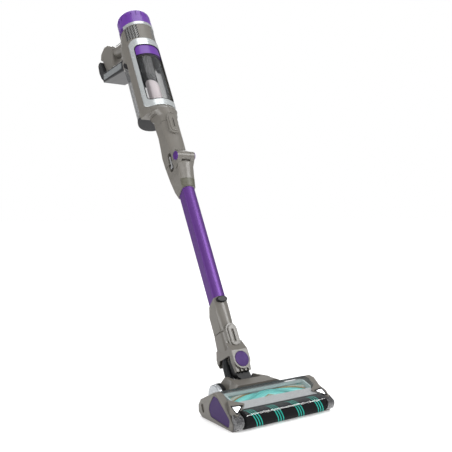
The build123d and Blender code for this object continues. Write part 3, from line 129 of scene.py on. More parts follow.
def grain(tree, shader, height, distance, edge=0.0):
    """Fine relief from a height value, over edges that are rounded a little."""
    node = tree.nodes.new("ShaderNodeBump")
    node.inputs["Distance"].default_value = distance
    tree.links.new(height, node.inputs["Height"])
    if edge:
        rounded = tree.nodes.new("ShaderNodeBevel")
        rounded.samples = 4
        rounded.inputs["Radius"].default_value = edge
        tree.links.new(rounded.outputs["Normal"], node.inputs["Normal"])
    tree.links.new(node.outputs["Normal"], shader.inputs["Normal"])


def plastic(
    name, colour, roughness, texture=0.00004, coat=0.0, metallic=0.0, grain_size=0.0009, edge=0.0, shine=0.4
):
    """Moulded plastic: nearly even colour, fine spark-eroded grain and slight wear in the gloss."""
    material, tree, shader = new_material(name)
    point = object_point(tree)
    cloud = noise(tree, point, 14, 4)
    darker = [channel * 0.94 for channel in colour]
    tree.links.new(tint(tree, cloud, darker, colour), shader.inputs["Base Color"])
    gloss = spread(tree, noise(tree, point, 45, 5), roughness - 0.04, roughness + 0.05)
    tree.links.new(gloss, shader.inputs["Roughness"])
    shader.inputs["Metallic"].default_value = metallic
    shader.inputs["Specular IOR Level"].default_value = shine
    shader.inputs["Coat Weight"].default_value = coat
    shader.inputs["Coat Roughness"].default_value = 0.12
    if texture:
        grain(tree, shader, noise(tree, point, 1 / grain_size, 2), texture, edge)
    return material


def clear(name, colour, facing, grazing, roughness=0.04):
    """Thin clear plastic: see-through where it is faced, denser and brighter towards its edges."""
    material, tree, shader = new_material(name)
    shader.inputs["Base Color"].default_value = (*colour, 1)
    shader.inputs["Roughness"].default_value = roughness
    shader.inputs["IOR"].default_value = 2.2
    rim = tree.nodes.new("ShaderNodeLayerWeight")
    rim.inputs["Blend"].default_value = 0.22
    tree.links.new(spread(tree, rim.outputs["Facing"], facing, grazing), shader.inputs["Alpha"])
    return material


def metal(name, colour, roughness):
    """Bare metal with fine scratches."""
    material, tree, shader = new_material(name)
    shader.inputs["Base Color"].default_value = (*colour, 1)
    shader.inputs["Metallic"].default_value = 1.0
    point = object_point(tree)
    gloss = spread(tree, noise(tree, point, 600, 4), roughness - 0.06, roughness + 0.08)
    tree.links.new(gloss, shader.inputs["Roughness"])
    grain(tree, shader, noise(tree, point, 900, 3), 0.00003)
    return material


def vector_math(tree, kind, first, second=None):
    """One vector sum; each side is a socket or three numbers."""
    node = tree.nodes.new("ShaderNodeVectorMath")
    node.operation = kind
    for socket, value in zip(node.inputs, (first, second)):
        if isinstance(value, bpy.types.NodeSocket):
            tree.links.new(value, socket)
        elif value is not None:
            socket.default_value = tuple(value)
    return node


def turned(name, colour, centre, axis):
    """Metallic lacquer turned in fine rings round an axis, so that its shine fans out from the middle."""
    material, tree, shader = new_material(name)
    shader.inputs["Base Color"].default_value = (*colour, 1)
    shader.inputs["Metallic"].default_value = 0.45
    shader.inputs["Anisotropic"].default_value = 0.85
    shader.inputs["Specular IOR Level"].default_value = 0.2
    point = object_point(tree)
    arm = vector_math(tree, "SUBTRACT", point, centre).outputs["Vector"]
    ring = vector_math(tree, "CROSS_PRODUCT", arm, axis).outputs["Vector"]
    tree.links.new(vector_math(tree, "NORMALIZE", ring).outputs["Vector"], shader.inputs["Tangent"])
    distance = vector_math(tree, "LENGTH", ring).outputs["Value"]
    waves = tree.nodes.new("ShaderNodeTexNoise")
    waves.noise_dimensions = "1D"
    waves.inputs["Scale"].default_value = 2500
    tree.links.new(distance, waves.inputs["W"])
    tree.links.new(spread(tree, waves.outputs["Fac"], 0.22, 0.38), shader.inputs["Roughness"])
    return material


def faceted(name, colour):
    """Dark clear plastic moulded in small facets."""
    material, tree, shader = new_material(name)
    point = object_point(tree)
    cells = tree.nodes.new("ShaderNodeTexVoronoi")
    cells.inputs["Scale"].default_value = 230
    tree.links.new(point, cells.inputs["Vector"])
    darker = [channel * 0.3 for channel in colour]
    tree.links.new(tint(tree, cells.outputs["Distance"], colour, darker), shader.inputs["Base Color"])
    shader.inputs["Roughness"].default_value = 0.12
    shader.inputs["Coat Weight"].default_value = 0.8
    grain(tree, shader, cells.outputs["Distance"], 0.0012)
    return material


def lamp_glow():
    """White lamp, lit."""
    material, tree, shader = new_material("lamp_lit")
    point = object_point(tree)
    lines = noise(tree, point, 500, 2)
    tree.links.new(tint(tree, lines, (0.80, 0.84, 0.86), (1.0, 1.0, 1.0)), shader.inputs["Base Color"])
    tree.links.new(tint(tree, lines, (0.9, 0.95, 1.0), (1.0, 1.0, 1.0)), shader.inputs["Emission Color"])
    shader.inputs["Emission Strength"].default_value = 1.6
    shader.inputs["Roughness"].default_value = 0.1
    return material


EDGE = 0.0007
GREY = plastic("grey_shell", (0.128, 0.119, 0.105), 0.34, coat=0.1, edge=EDGE)
DARK = plastic("dark_shell", (0.016, 0.016, 0.017), 0.38, edge=EDGE, shine=0.25)
BLACK = plastic("black_shell", (0.004, 0.004, 0.005), 0.36, edge=EDGE, shine=0.2)
SHELL_VIOLET = (0.095, 0.022, 0.235)
VIOLET = plastic("violet_shell", SHELL_VIOLET, 0.30, coat=0.25, edge=EDGE)
TUBE_VIOLET = (0.085, 0.026, 0.175)
VIOLET_TUBE = plastic("violet_anodised", TUBE_VIOLET, 0.40, texture=0.00002, metallic=0.5, edge=EDGE)
DEEP_VIOLET = plastic("deep_violet_panel", (0.030, 0.008, 0.078), 0.40, edge=EDGE, shine=0.2)
BRIGHT = (0.52, 0.545, 0.55)
SILVER = plastic("silver_shell", BRIGHT, 0.26, texture=0.00001, coat=0.4, metallic=0.6, edge=EDGE)
STRIP = plastic("strip_silver", (0.34, 0.36, 0.37), 0.28, texture=0.00003, metallic=0.7)
LABEL = plastic("label_silver", (0.62, 0.64, 0.65), 0.32, texture=0.00002, metallic=0.2)
LIGHT = plastic("pale_inner", (0.62, 0.55, 0.57), 0.35)
OLIVE = plastic("olive_band", (0.070, 0.067, 0.046), 0.40)
TEAL = plastic("teal_fins", (0.11, 0.62, 0.58), 0.30, coat=0.4)
GOLD = plastic("gold_edge", (0.42, 0.27, 0.08), 0.4, metallic=0.3)
BRISTLE = plastic("bristle_tan", (0.46, 0.52, 0.45), 0.8, texture=0.0004, grain_size=0.0006)
TEAL_CORE = plastic("teal_core", (0.17, 0.74, 0.70), 0.35, coat=0.4)
TYRE = plastic("tyre_rubber", (0.010, 0.010, 0.011), 0.62, texture=0.0001, grain_size=0.0006, shine=0.3)
HOSE = plastic("hose_skin", (0.006, 0.007, 0.009), 0.30, shine=0.3)
PAD = plastic("grip_rubber", (0.035, 0.034, 0.032), 0.6, texture=0.0002, grain_size=0.0015)
HUB = plastic("hub_silver", (0.40, 0.42, 0.44), 0.26, metallic=0.5, coat=0.3, edge=EDGE)
GRILLE = plastic("grille_bars", (0.24, 0.24, 0.235), 0.34, metallic=0.6)
FOAM = plastic("filter_felt", (0.55, 0.55, 0.53), 0.9, texture=0.0003)
STEEL = metal("steel", (0.62, 0.62, 0.63), 0.28)
CAN = metal("motor_can", (0.5, 0.5, 0.52), 0.35)
CLEAR = clear("clear_bin", (0.06, 0.063, 0.066), 0.07, 0.85)
WINDOW = clear("clear_window", (0.10, 0.11, 0.115), 0.06, 0.60)
FACETS = faceted("faceted_bracket", (0.06, 0.06, 0.065))
LIT = lamp_glow()
SWIVEL_DISC = turned("turned_violet", (0.019, 0.005, 0.050), Vector(joints["neck_swivel"]["pos_m"]), BACK)
FOLD_DISC = turned("turned_violet_ends", (0.075, 0.020, 0.18), FOLD, SIDE)


def ring_material(centre):
    """Silver round the front of the motor ring, violet round its sides and back."""
    material, tree, shader = new_material("motor_ring_two_tone")
    arm = vector_math(tree, "SUBTRACT", object_point(tree), centre).outputs["Vector"]
    ahead = vector_math(tree, "DOT_PRODUCT", arm, -BACK).outputs["Value"]
    split = tree.nodes.new("ShaderNodeMath")
    split.operation = "GREATER_THAN"
    split.inputs[1].default_value = 0.012
    tree.links.new(ahead, split.inputs[0])
    two_tone = tint(tree, split.outputs["Value"], SHELL_VIOLET, (0.44, 0.46, 0.465))
    tree.links.new(two_tone, shader.inputs["Base Color"])
    shader.inputs["Metallic"].default_value = 0.6
    shader.inputs["Roughness"].default_value = 0.26
    return material


RING = ring_material(Vector(joints["filter_lid_twist"]["pos_m"]))


def painted_glow_chamber_material(centre):
    """Dark chassis plastic whose chamber round the brush roll is painted pale and made to glow: painted
    light that stands in for light inside the head, though the chassis is no lamp.
    """
    material, tree, shader = new_material("chassis_with_painted_glow_chamber")
    flat = vector_math(tree, "MULTIPLY", object_point(tree), (0, 1, 1)).outputs["Vector"]
    reach = vector_math(tree, "DISTANCE", flat, (0, centre.y, centre.z)).outputs["Value"]
    inside = tree.nodes.new("ShaderNodeMath")
    inside.operation = "LESS_THAN"
    inside.inputs[1].default_value = 0.0345
    tree.links.new(reach, inside.inputs[0])
    painted_glow_mask = inside.outputs["Value"]
    # painted light: the chamber wall is tinted pale and given a glow, standing in for light inside the head
    painted_glow_tint = tint(tree, painted_glow_mask, (0.016, 0.016, 0.017), (0.42, 0.52, 0.52))
    tree.links.new(painted_glow_tint, shader.inputs["Base Color"])
    shader.inputs["Emission Color"].default_value = (0.55, 0.72, 0.72, 1)
    tree.links.new(spread(tree, painted_glow_mask, 0.0, 0.16), shader.inputs["Emission Strength"])
    shader.inputs["Roughness"].default_value = 0.4
    return material


CHAMBER_PAINTED_GLOW = painted_glow_chamber_material(Vector(joints["brush_roll_spin"]["pos_m"]))

FINISH = {
    "main_frame": GREY, "motor_housing": GREY, "handle_frame": GREY, "flex_upper_shell": GREY,
    "flex_lower_shell": GREY, "wand_sleeve": GREY, "neck_socket": GREY, "neck_cover": GREY,
    "left_end_cap": GREY, "right_end_cap": GREY, "head_chassis": CHAMBER_PAINTED_GLOW, "roller_brackets": FACETS,
    "window_bezel": SILVER, "motor_ring": RING, "window_trim": DARK, "battery_strips": STRIP,
    "bin_band": VIOLET, "filter_cap": VIOLET, "fold_caps": FOLD_DISC, "swivel_cap": SWIVEL_DISC,
    "end_inserts": DEEP_VIOLET, "wand_tube": VIOLET_TUBE, "dust_bin": CLEAR, "brush_window": WINDOW,
    "cyclone_shroud": DARK, "inlet_tower": LIGHT, "bin_door": BLACK, "bin_latches": BLACK,
    "vent_grilles": GRILLE, "trigger": BLACK, "battery_case": DARK, "battery_latch": BLACK,
    "grip_pad": PAD, "upper_release_button": GREY, "lower_release_button": GREY,
    "wand_indicator": BLACK, "tilt_yoke": BLACK, "sole_plate": BLACK, "lamp_bezels": BLACK,
    "brush_roll_core": TEAL_CORE, "brush_roll_fins": TEAL, "front_roller_core": DARK,
    "front_roller_pile": BLACK, "left_wheel_tyre": TYRE, "right_wheel_tyre": TYRE,
    "left_wheel_hub": HUB, "right_wheel_hub": HUB, "suction_hose": HOSE, "flex_hose": HOSE,
    # painted shade: the suction motor behind the vent grilles is set black so that the hollow behind the
    # bars reads dark
    "drive_belts": TYRE, "exhaust_filter": FOAM, "suction_motor": BLACK, "drive_motor": CAN,
    "motor_pulley": STEEL, "fold_pins": STEEL, "fold_latch": STEEL, "swivel_pin": STEEL,
    "tilt_pin": STEEL, "wheel_axles": STEEL, "lamps": LIT,
}
for node_name, material in FINISH.items():
    for material_slot in nodes[node_name].material_slots:
        material_slot.link = "OBJECT"
        material_slot.material = material


# ---------------------------------------------------------------- mesh helpers
def finish_piece(name, mesh, material, body=None, smooth=True):
    """Puts a mesh in the scene as a piece on a body."""
    mesh.validate()
    mesh.materials.append(material)
    if smooth:
        mesh.polygons.foreach_set("use_smooth", [True] * len(mesh.polygons))
    piece = bpy.data.objects.new(name, mesh)
    bpy.context.scene.collection.objects.link(piece)
    if body:
        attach(piece, body)
    return piece


def grid_mesh(name, rows, wrap_rows=False, wrap_columns=True, caps=False):
    """Quads over rows of points; rows and columns may close on themselves."""
    row_count = len(rows)
    column_count = len(rows[0])
    points = [tuple(point) for row in rows for point in row]
    faces = []
    for i in range(row_count if wrap_rows else row_count - 1):
        for k in range(column_count if wrap_columns else column_count - 1):
            a = i * column_count + k
            b = i * column_count + (k + 1) % column_count
            c = ((i + 1) % row_count) * column_count + (k + 1) % column_count
            d = ((i + 1) % row_count) * column_count + k
            faces.append((a, b, c, d))
    if caps:
        faces.append(tuple(range(column_count)))
        last = (row_count - 1) * column_count
        faces.append(tuple(last + k for k in reversed(range(column_count))))
    mesh = bpy.data.meshes.new(name)
    mesh.from_pydata(points, [], faces)
    return mesh


def rounded_route(corners, radii, step):
    """Points along straight runs joined by arcs, an even step apart."""
    points = [Vector(corners[0])]
    for index, radius in enumerate(radii):
        before, corner, after = (Vector(corners[index + shift]) for shift in (0, 1, 2))
        inward = (before - corner).normalized()
        outward = (after - corner).normalized()
        half = inward.angle(outward) / 2
        cut = radius / math.tan(half)
        start = corner + inward * cut
        centre = corner + (inward + outward).normalized() * (radius / math.sin(half))
        arm = start - centre
        axis = inward.cross(outward).normalized()
        sweep = math.pi - 2 * half
        points.append(start)
        pieces = max(4, round(radius * sweep / step))
        for piece in range(1, pieces + 1):
            points.append(centre + Matrix.Rotation(-sweep * piece / pieces, 3, axis) @ arm)
    points.append(Vector(corners[-1]))
    even = [points[0]]
    left = step
    for a, b in zip(points, points[1:]):
        length = (b - a).length
        travelled = left
        while travelled <= length:
            even.append(a.lerp(b, travelled / length))
            travelled += step
        left = travelled - length
    return even


def tube_rows(route, radius_at, segments):
    """Rings of points round a route; radius_at gives the radius at each step."""
    rows = []
    normal = None
    for index, point in enumerate(route):
        ahead = route[min(index + 1, len(route) - 1)]
        behind = route[max(index - 1, 0)]
        tangent = (ahead - behind).normalized()
        if normal is None:
            normal = tangent.orthogonal().normalized()
        normal = (normal - tangent * normal.dot(tangent)).normalized()
        other = tangent.cross(normal)
        radius = radius_at(index)
        ring = []
        for k in range(segments):
            turn = math.tau * k / segments
            ring.append(point + normal * math.cos(turn) * radius + other * math.sin(turn) * radius)
        rows.append(ring)
    return rows


# ---------------------------------------------------------------- front roller with its pile
def pile_material(centre):
    """Black pile with three teal stripes that wind round the roller."""
    material, tree, shader = new_material("roller_pile")
    pitch = 0.054
    stripe = 0.0022
    point = object_point(tree)
    parts = tree.nodes.new("ShaderNodeSeparateXYZ")
    tree.links.new(point, parts.inputs["Vector"])

    def sum_of(kind, first, second, third=None):
        node = tree.nodes.new("ShaderNodeMath")
        node.operation = kind
        for socket, value in zip(node.inputs, (first, second, third)):
            if value is None:
                continue
            if isinstance(value, (int, float)):
                socket.default_value = value
            else:
                tree.links.new(value, socket)
        return node.outputs["Value"]

    forward = sum_of("SUBTRACT", centre.y, parts.outputs["Y"])
    upward = sum_of("SUBTRACT", parts.outputs["Z"], centre.z)
    turn = sum_of("ARCTAN2", forward, upward)
    wobble = sum_of("MULTIPLY", sum_of("SUBTRACT", noise(tree, point, 700, 2), 0.5), 0.0014)
    shift = sum_of("MULTIPLY", turn, pitch / math.tau)
    place = sum_of("ADD", sum_of("SUBTRACT", parts.outputs["X"], shift), wobble)
    along_pitch = sum_of("WRAP", place, pitch, 0.0)
    mask = 0.0
    for offset in (0.012, 0.0185, 0.025):
        mask = sum_of("ADD", sum_of("COMPARE", along_pitch, offset, stripe / 2), mask)
    tree.links.new(tint(tree, mask, (0.004, 0.004, 0.005), (0.02, 0.40, 0.32)), shader.inputs["Base Color"])
    shader.inputs["Roughness"].default_value = 0.85
    shader.inputs["Specular IOR Level"].default_value = 0.15
    shader.inputs["Sheen Weight"].default_value = 0.06
    shader.inputs["Sheen Roughness"].default_value = 0.4
    grain(tree, shader, noise(tree, point, 1800, 2), 0.0003)
    return material


def roller_pile():
    """Dense cut pile: a roller whose surface is broken into short tufts."""
    low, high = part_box("front_roller_pile")
    centre = Vector(joints["front_roller_spin"]["pos_m"])
    radius = (high[2] - low[2]) / 2
    columns = 168
    steps = 300
    rows = []
    for i in range(steps + 1):
        x = low[0] + (high[0] - low[0]) * i / steps
        edge = min(i, steps - i)
        shoulder = 0.0022 * max(0.0, 1 - edge / 4) ** 2
        ring = []
        for k in range(columns):
            turn = math.tau * k / columns
            tuft = 0.5 + 0.5 * mathutils_noise(Vector((x * 900, math.cos(turn) * 17, math.sin(turn) * 17)))
            reach = radius - 0.0007 * tuft - shoulder
            ring.append((x, centre.y + reach * math.cos(turn), centre.z + reach * math.sin(turn)))
        rows.append(ring)
    mesh = grid_mesh("roller_pile", rows, caps=True)
    piece = finish_piece("roller_pile", mesh, pile_material(centre), "front_roller")
    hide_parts("front_roller_pile")


# ---------------------------------------------------------------- brush roll
BLADE_TWIST = math.radians(105)


def chevron(x, half_length):
    """Turn of a blade at a place along the roll: a chevron whose point is at the middle."""
    return BLADE_TWIST * math.sqrt((1 - abs(x) / half_length) ** 2 + 0.0004)


def blade_mesh(name, centre, half_length, inner, outer, root, tip, start):
    """One bent blade, root wide at the core and tip wide at its edge; both are half widths."""
    rows = []
    steps = 60
    for i in range(steps + 1):
        x = -half_length + 2 * half_length * i / steps
        turn = start + chevron(x, half_length)
        radial = Vector((0, -math.cos(turn), math.sin(turn)))
        across = Vector((0, math.sin(turn), math.cos(turn)))
        base = centre + Vector((x, 0, 0))
        middle_reach = (inner + outer) / 2
        rows.append([
            base + radial * inner - across * root,
            base + radial * middle_reach - across * (root + tip) / 2,
            base + radial * (outer - 0.0008) - across * tip,
            base + radial * outer,
            base + radial * (outer - 0.0008) + across * tip,
            base + radial * middle_reach + across * (root + tip) / 2,
            base + radial * inner + across * root,
        ])
    return grid_mesh(name, rows, caps=True)


def brush_blades():
    """Three soft ribs and three bristle rows with gold edges, laid out by turns."""
    low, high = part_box("brush_roll_fins")
    core_low, core_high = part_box("brush_roll_core")
    centre = Vector(joints["brush_roll_spin"]["pos_m"])
    outer = (high[2] - low[2]) / 2 - 0.0002
    inner = (core_high[2] - core_low[2]) / 2 - 0.001
    reach = (centre, (high[0] - low[0]) / 2, inner)
    for index in range(6):
        start = math.tau * index / 6 + math.radians(-62)
        if index % 2:
            mesh = blade_mesh("soft_rib", *reach, outer, 0.0042, 0.0022, start)
            piece = finish_piece(f"soft_rib_{index}", mesh, TEAL, "brush_roll")
        else:
            mesh = blade_mesh("bristle_row", *reach, outer, 0.0034, 0.0030, start)
            piece = finish_piece(f"bristle_row_{index}", mesh, BRISTLE, "brush_roll")
            for side in (-1, 1):
                swing = side * 0.0046 / outer
                strip = blade_mesh("gold_edge", *reach, outer - 0.0008, 0.0011, 0.0008, start + swing)
                edge = finish_piece(f"gold_edge_{index}_{side + 1}", strip, GOLD, "brush_roll")
        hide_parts("brush_roll_fins")


def roll_sleeve():
    """Fluted sleeve over the roll's core, between the roots of the blades."""
    low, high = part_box("brush_roll_fins")
    centre = Vector(joints["brush_roll_spin"]["pos_m"])
    half_length = (high[0] - low[0]) / 2 - 0.0006
    radius = 0.0203
    flute_depth = 0.0006
    flutes = 12
    columns = 144
    steps = 80
    rows = []
    for i in range(steps + 1):
        x = -half_length + 2 * half_length * i / steps
        shift = chevron(x, half_length)
        ring = []
        for k in range(columns):
            turn = math.tau * k / columns
            reach = radius + flute_depth * math.cos(flutes * (turn - shift))
            ring.append((x, centre.y - reach * math.cos(turn), centre.z + reach * math.sin(turn)))
        rows.append(ring)
    mesh = grid_mesh("roll_sleeve", rows, caps=True)
    piece = finish_piece("roll_sleeve", mesh, TEAL_CORE, "brush_roll")


# ---------------------------------------------------------------- hoses
def hose_piece(name, route, radius, pitch, depth):
    """Ribbed hose laid along a route, as one fixed mesh."""
    step = (route[1] - route[0]).length

    def ribbed(index):
        return radius - depth * (0.5 - 0.5 * math.cos(math.tau * index * step / pitch))

    mesh = grid_mesh(name, tube_rows(route, ribbed, 40), caps=True)
    piece = finish_piece(name, mesh, HOSE)
    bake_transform(piece)
    return piece


def suction_hose():
    """Hose beside the neck, in two lengths split near a given middle point of its route."""
    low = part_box("suction_hose")[0]
    radius, pitch, depth = 0.010, 0.0035, 0.0007
    beside = -0.026
    corners = [
        Vector((beside, low[1], low[2] + radius)),
        Vector((beside, AXLE.y - 0.0018, low[2] + radius)),
        along(-14, 14, 60),
        along(-4.5, 14, 94),
    ]
    route = rounded_route(corners, (0.024, 0.060), 0.0005)
    middle = along(-20, 11, 36)
    split = min(range(len(route)), key=lambda i: (route[i] - middle).length)
    joint = tuple(middle)
    runs = (
        ("suction_hose_low", route[:split + 3], ("head", "neck"), tuple(route[40]), joint),
        ("suction_hose_top", route[split:], ("neck", "lower_wand"), joint, tuple(route[-30])),
    )
    for name, run, bodies, start, end in runs:
        piece = hose_piece(name, run, radius, pitch, depth)
        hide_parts("suction_hose")


def flex_hose():
    """Hose inside the fold."""
    route = [along(0, 3, 530 + 0.5 * i) for i in range(301)]
    piece = hose_piece("fold_hose", route, 0.0126, 0.004, 0.0012)
    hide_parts("flex_hose")


# ---------------------------------------------------------------- collar, pills, label and seals
def olive_band():
    """Olive collar on the front of the lower fold shell: a thin layer cut from the shell's own surface."""
    planes = [(along(0, 0, 524.5), -UP), (along(0, 0, 548), UP), (along(0, -8, 0), BACK)]
    least_facing = 0.55
    lift = 0.0003
    mesh = nodes["flex_lower_shell"].data.copy()
    mesh.materials.clear()
    form = bmesh.new()
    form.from_mesh(mesh)
    bmesh.ops.remove_doubles(form, verts=form.verts, dist=1e-6)
    for point, normal in planes:
        geometry = form.verts[:] + form.edges[:] + form.faces[:]
        cut = {"plane_co": point, "plane_no": normal, "clear_outer": True}
        bmesh.ops.bisect_plane(form, geom=geometry, dist=1e-7, **cut)
    form.normal_update()
    away = [face for face in form.faces if face.normal.dot(-BACK) < least_facing]
    bmesh.ops.delete(form, geom=away, context="FACES")
    for vertex in form.verts:
        vertex.co += vertex.normal * lift
    form.to_mesh(mesh)
    form.free()
    piece = finish_piece("olive_collar", mesh, OLIVE, "lower_wand")
    thick = piece.modifiers.new("thickness", "SOLIDIFY")
    thick.thickness = lift * 2
    thick.offset = -1


def pill_rows(centre, long_way, short_way, outward, half_length, radius, profile):
    """Rings of a pill shape; the profile lists how far each ring shrinks and rises."""
    rows = []
    straight = half_length - radius
    for shrink, rise in profile:
        reach = radius - shrink
        ring = []
        for k in range(48):
            turn = math.tau * (k + 0.5) / 48
            end = straight if math.cos(turn) > 0 else -straight
            offset = long_way * (end + reach * math.cos(turn)) + short_way * (reach * math.sin(turn))
            ring.append(centre + offset + outward * rise)
        rows.append(ring)
    return rows


def button_details():
    """A thin black ring of painted shade standing in for a shadowed groove, and a raised rib down the middle
    of each release button.
    """
    for node, body in (("lower_release_button", "lower_button"), ("upper_release_button", "upper_button")):
        low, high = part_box(node)
        middle = (Vector(low) + Vector(high)) / 2
        face = middle - BACK * 0.0035
        # painted shade: a flat black ring, barely proud of the button face, stands in for the shade inside a
        # groove round the rib
        painted_groove_shade = [(0.0, -0.0004), (0.0, 0.00012), (0.0016, 0.00012), (0.0018, -0.0004)]
        rows = pill_rows(face, UP, SIDE, -BACK, 0.0205, 0.0072, painted_groove_shade)
        mesh = grid_mesh("button_painted_groove_shade", rows, wrap_rows=True)
        piece = finish_piece(node + "_painted_groove_shade", mesh, BLACK, body, smooth=False)
        rib = [(0.0, -0.0004), (0.0003, 0.0011), (0.0012, 0.0017), (0.0026, 0.0018)]
        rows = pill_rows(face, UP, SIDE, -BACK, 0.0165, 0.0036, rib)
        mesh = grid_mesh("button_rib", rows, caps=True)
        piece = finish_piece(node + "_rib", mesh, GREY, body)


def side_of_fold(point, body):
    """True where a point lies on the body's own side of the parting line at the fold."""
    height = (point - FOLD).dot(UP)
    return height > 0.001 if body == "hand_unit" else height < -0.001


def fold_recess():
    """Black linings of the oval recess on the left of the fold."""
    spots = (
        ("recess_upper", "hand_unit", along(-16.9, -1, 620), 100, 0.0148, 0.0083),
        ("recess_lower", "lower_wand", along(-15.9, 4, 601), 84, 0.0178, 0.0098),
    )
    for name, body, centre, tilt, half_length, radius in spots:
        turn = math.radians(tilt)
        long_way = BACK * math.cos(turn) + UP * math.sin(turn)
        short_way = BACK * math.sin(turn) - UP * math.cos(turn)
        lining = [(0.0, -0.0002), (0.0, 0.0005), (0.0006, 0.0007), (0.003, 0.0007)]
        rows = pill_rows(centre, long_way, short_way, -SIDE, half_length, radius, lining)
        rows = [[point for point in ring if side_of_fold(point, body)] for ring in rows]
        if min(len(ring) for ring in rows) < 8:
            continue
        mesh = grid_mesh(name, rows, caps=True)
        piece = finish_piece(name, mesh, BLACK, body)


def label_panel():
    """Plain silver strip under the lower part of the head's window."""
    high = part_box("brush_window")[1]
    slope = math.radians(18)
    down = Vector((0, -math.cos(slope), -math.sin(slope)))
    inward = Vector((0, math.sin(slope), -math.cos(slope)))
    top_edge = Vector((0, high[1], high[2]))
    half = 0.098
    columns = 60
    near, far = 0.041, 0.0645
    top, bottom = 0.0030, 0.0036
    rows = []
    for reach, lift in ((near, top), (far, top), (far, bottom), (near, bottom)):
        row = []
        for k in range(columns + 1):
            x = -half + 2 * half * k / columns
            row.append(top_edge + down * reach + inward * lift + SIDE * x)
        rows.append(row)
    mesh = grid_mesh("label_panel", rows, wrap_rows=True, wrap_columns=False)
    mesh_form = bmesh.new()
    mesh_form.from_mesh(mesh)
    bmesh.ops.holes_fill(mesh_form, edges=[edge for edge in mesh_form.edges if edge.is_boundary], sides=0)
    bmesh.ops.recalc_face_normals(mesh_form, faces=mesh_form.faces)
    mesh_form.to_mesh(mesh)
    mesh_form.free()
    piece = finish_piece("label_panel", mesh, LABEL, "head", smooth=False)


def loop_rows(route, radius, segments):
    """Rings of points round a closed route that lies across the stick's front."""
    rows = []
    for index, point in enumerate(route):
        tangent = (route[(index + 1) % len(route)] - route[index - 1]).normalized()
        normal = tangent.cross(BACK).normalized()
        other = tangent.cross(normal)
        ring = []
        for k in range(segments):
            turn = math.tau * k / segments
            ring.append(point + normal * math.cos(turn) * radius + other * math.sin(turn) * radius)
        rows.append(ring)
    return rows


def window_seals():
    """Black seals: one round the opening of the silver bezel and one under the violet band."""
    half, corner, bottom, top = 40.4, 11.6, 806.4, 995.6
    outline = []
    for centre_x, centre_s, start in (
        (half - corner, top - corner, 0), (-half + corner, top - corner, 90),
        (-half + corner, bottom + corner, 180), (half - corner, bottom + corner, 270),
    ):
        for step in range(9):
            turn = math.radians(start + 90 * step / 8)
            outline.append((centre_x + corner * math.cos(turn), centre_s + corner * math.sin(turn)))
    even = []
    for (x, s), (next_x, next_s) in zip(outline, outline[1:] + outline[:1]):
        pieces = max(1, round(math.hypot(next_x - x, next_s - s) / 3))
        even += [(x + (next_x - x) * k / pieces, s + (next_s - s) * k / pieces) for k in range(pieces)]
    bin_axis = 38.0
    outer = 54.9
    route = [along(x, bin_axis - math.sqrt(outer ** 2 - x ** 2), s) for x, s in even]
    mesh = grid_mesh("window_seal", loop_rows(route, 0.0012, 10), wrap_rows=True)
    piece = finish_piece("window_seal", mesh, BLACK, "hand_unit")
    band_radius = 53.4
    band_foot = 963.0
    route = []
    for angle in range(-47, 48, 2):
        turn = math.radians(angle)
        route.append(along(band_radius * math.sin(turn), bin_axis - band_radius * math.cos(turn), band_foot))
    mesh = grid_mesh("band_seal", tube_rows(route, lambda index: 0.0013, 10), caps=True)
    piece = finish_piece("band_seal", mesh, BLACK, "hand_unit")


window_seals()
roll_sleeve()
button_details()
fold_recess()
label_panel()
roller_pile()
brush_blades()
suction_hose()
flex_hose()
olive_band()


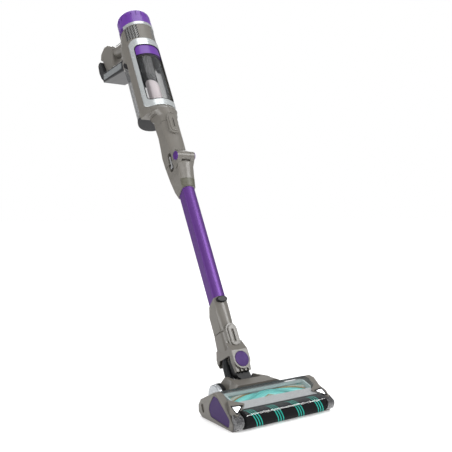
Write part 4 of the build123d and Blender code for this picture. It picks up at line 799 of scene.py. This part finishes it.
# ---------------------------------------------------------------- stage, light and camera
def stage():
    """Pale, slightly glossy floor under soft boxes, and a white surround."""
    floor_mesh = bpy.data.meshes.new("floor")
    half = 30.0
    corners = [(-half, -half, 0), (half, -half, 0), (half, half, 0), (-half, half, 0)]
    floor_mesh.from_pydata(corners, [], [(0, 1, 2, 3)])
    floor = bpy.data.objects.new("floor", floor_mesh)
    bpy.context.scene.collection.objects.link(floor)
    floor.location.z = cad_low[2] - 0.0004
    material, tree, shader = new_material("floor_white")
    shader.inputs["Base Color"].default_value = (0.95, 0.95, 0.95, 1)
    shader.inputs["Roughness"].default_value = 0.10
    shader.inputs["Emission Color"].default_value = (1, 1, 1, 1)
    reach = vector_math(tree, "LENGTH", object_point(tree)).outputs["Value"]
    far = tree.nodes.new("ShaderNodeMapRange")
    far.inputs["From Min"].default_value = 0.3
    far.inputs["From Max"].default_value = 3.0
    far.inputs["To Min"].default_value = 0.30
    far.inputs["To Max"].default_value = 0.70
    tree.links.new(reach, far.inputs["Value"])
    tree.links.new(far.outputs["Result"], shader.inputs["Emission Strength"])
    floor.data.materials.append(material)
    world = bpy.data.worlds.new("surround")
    world.use_nodes = True
    tree = world.node_tree
    seen = tree.nodes.new("ShaderNodeLightPath")
    white = tree.nodes.new("ShaderNodeBackground")
    white.inputs["Color"].default_value = (1, 1, 1, 1)
    blend = tree.nodes.new("ShaderNodeMixShader")
    room = tree.nodes["Background"]
    room.inputs["Color"].default_value = (1, 1, 1, 1)
    room.inputs["Strength"].default_value = 0.38
    tree.links.new(seen.outputs["Is Camera Ray"], blend.inputs["Fac"])
    tree.links.new(room.outputs["Background"], blend.inputs[1])
    tree.links.new(white.outputs["Background"], blend.inputs[2])
    tree.links.new(blend.outputs["Shader"], tree.nodes["World Output"].inputs["Surface"])
    bpy.context.scene.world = world


def soft_box(name, place, target, size, power):
    """Square area light aimed at a point."""
    light = bpy.data.lights.new(name, "AREA")
    light.shape = "SQUARE"
    light.size = size
    light.energy = power
    lamp = bpy.data.objects.new(name, light)
    bpy.context.scene.collection.objects.link(lamp)
    lamp.location = place
    lamp.rotation_euler = (Vector(target) - Vector(place)).to_track_quat("-Z", "Y").to_euler()


def camera():
    """Camera at the photograph's viewing angle."""
    lens = bpy.data.cameras.new("camera")
    lens.lens = 50
    lens.sensor_width = 36
    eye = bpy.data.objects.new("camera", lens)
    bpy.context.scene.collection.objects.link(eye)
    eye.location = (-0.8179, -1.1059, 0.4273)
    turn = math.radians(33.84)
    dip = math.radians(1.12)
    aim = Vector((math.sin(turn) * math.cos(dip), math.cos(turn) * math.cos(dip), -math.sin(dip)))
    eye.rotation_euler = aim.to_track_quat("-Z", "Y").to_euler()
    bpy.context.scene.camera = eye


stage()
bpy.context.scene.view_settings.view_transform = "Standard"
middle = (cad_low + cad_high) / 2
soft_box("key", (1.7, -1.6, 2.2), middle, 1.3, 62)
soft_box("fill", (-2.6, -0.4, 1.5), middle, 1.2, 34)
soft_box("front", (-0.3, -3.0, 1.9), middle, 1.4, 26)
soft_box("rim", (0.6, 2.4, 2.2), middle, 1.4, 34)
soft_box("top", (0.0, 0.1, 3.4), middle, 2.2, 40)
camera()
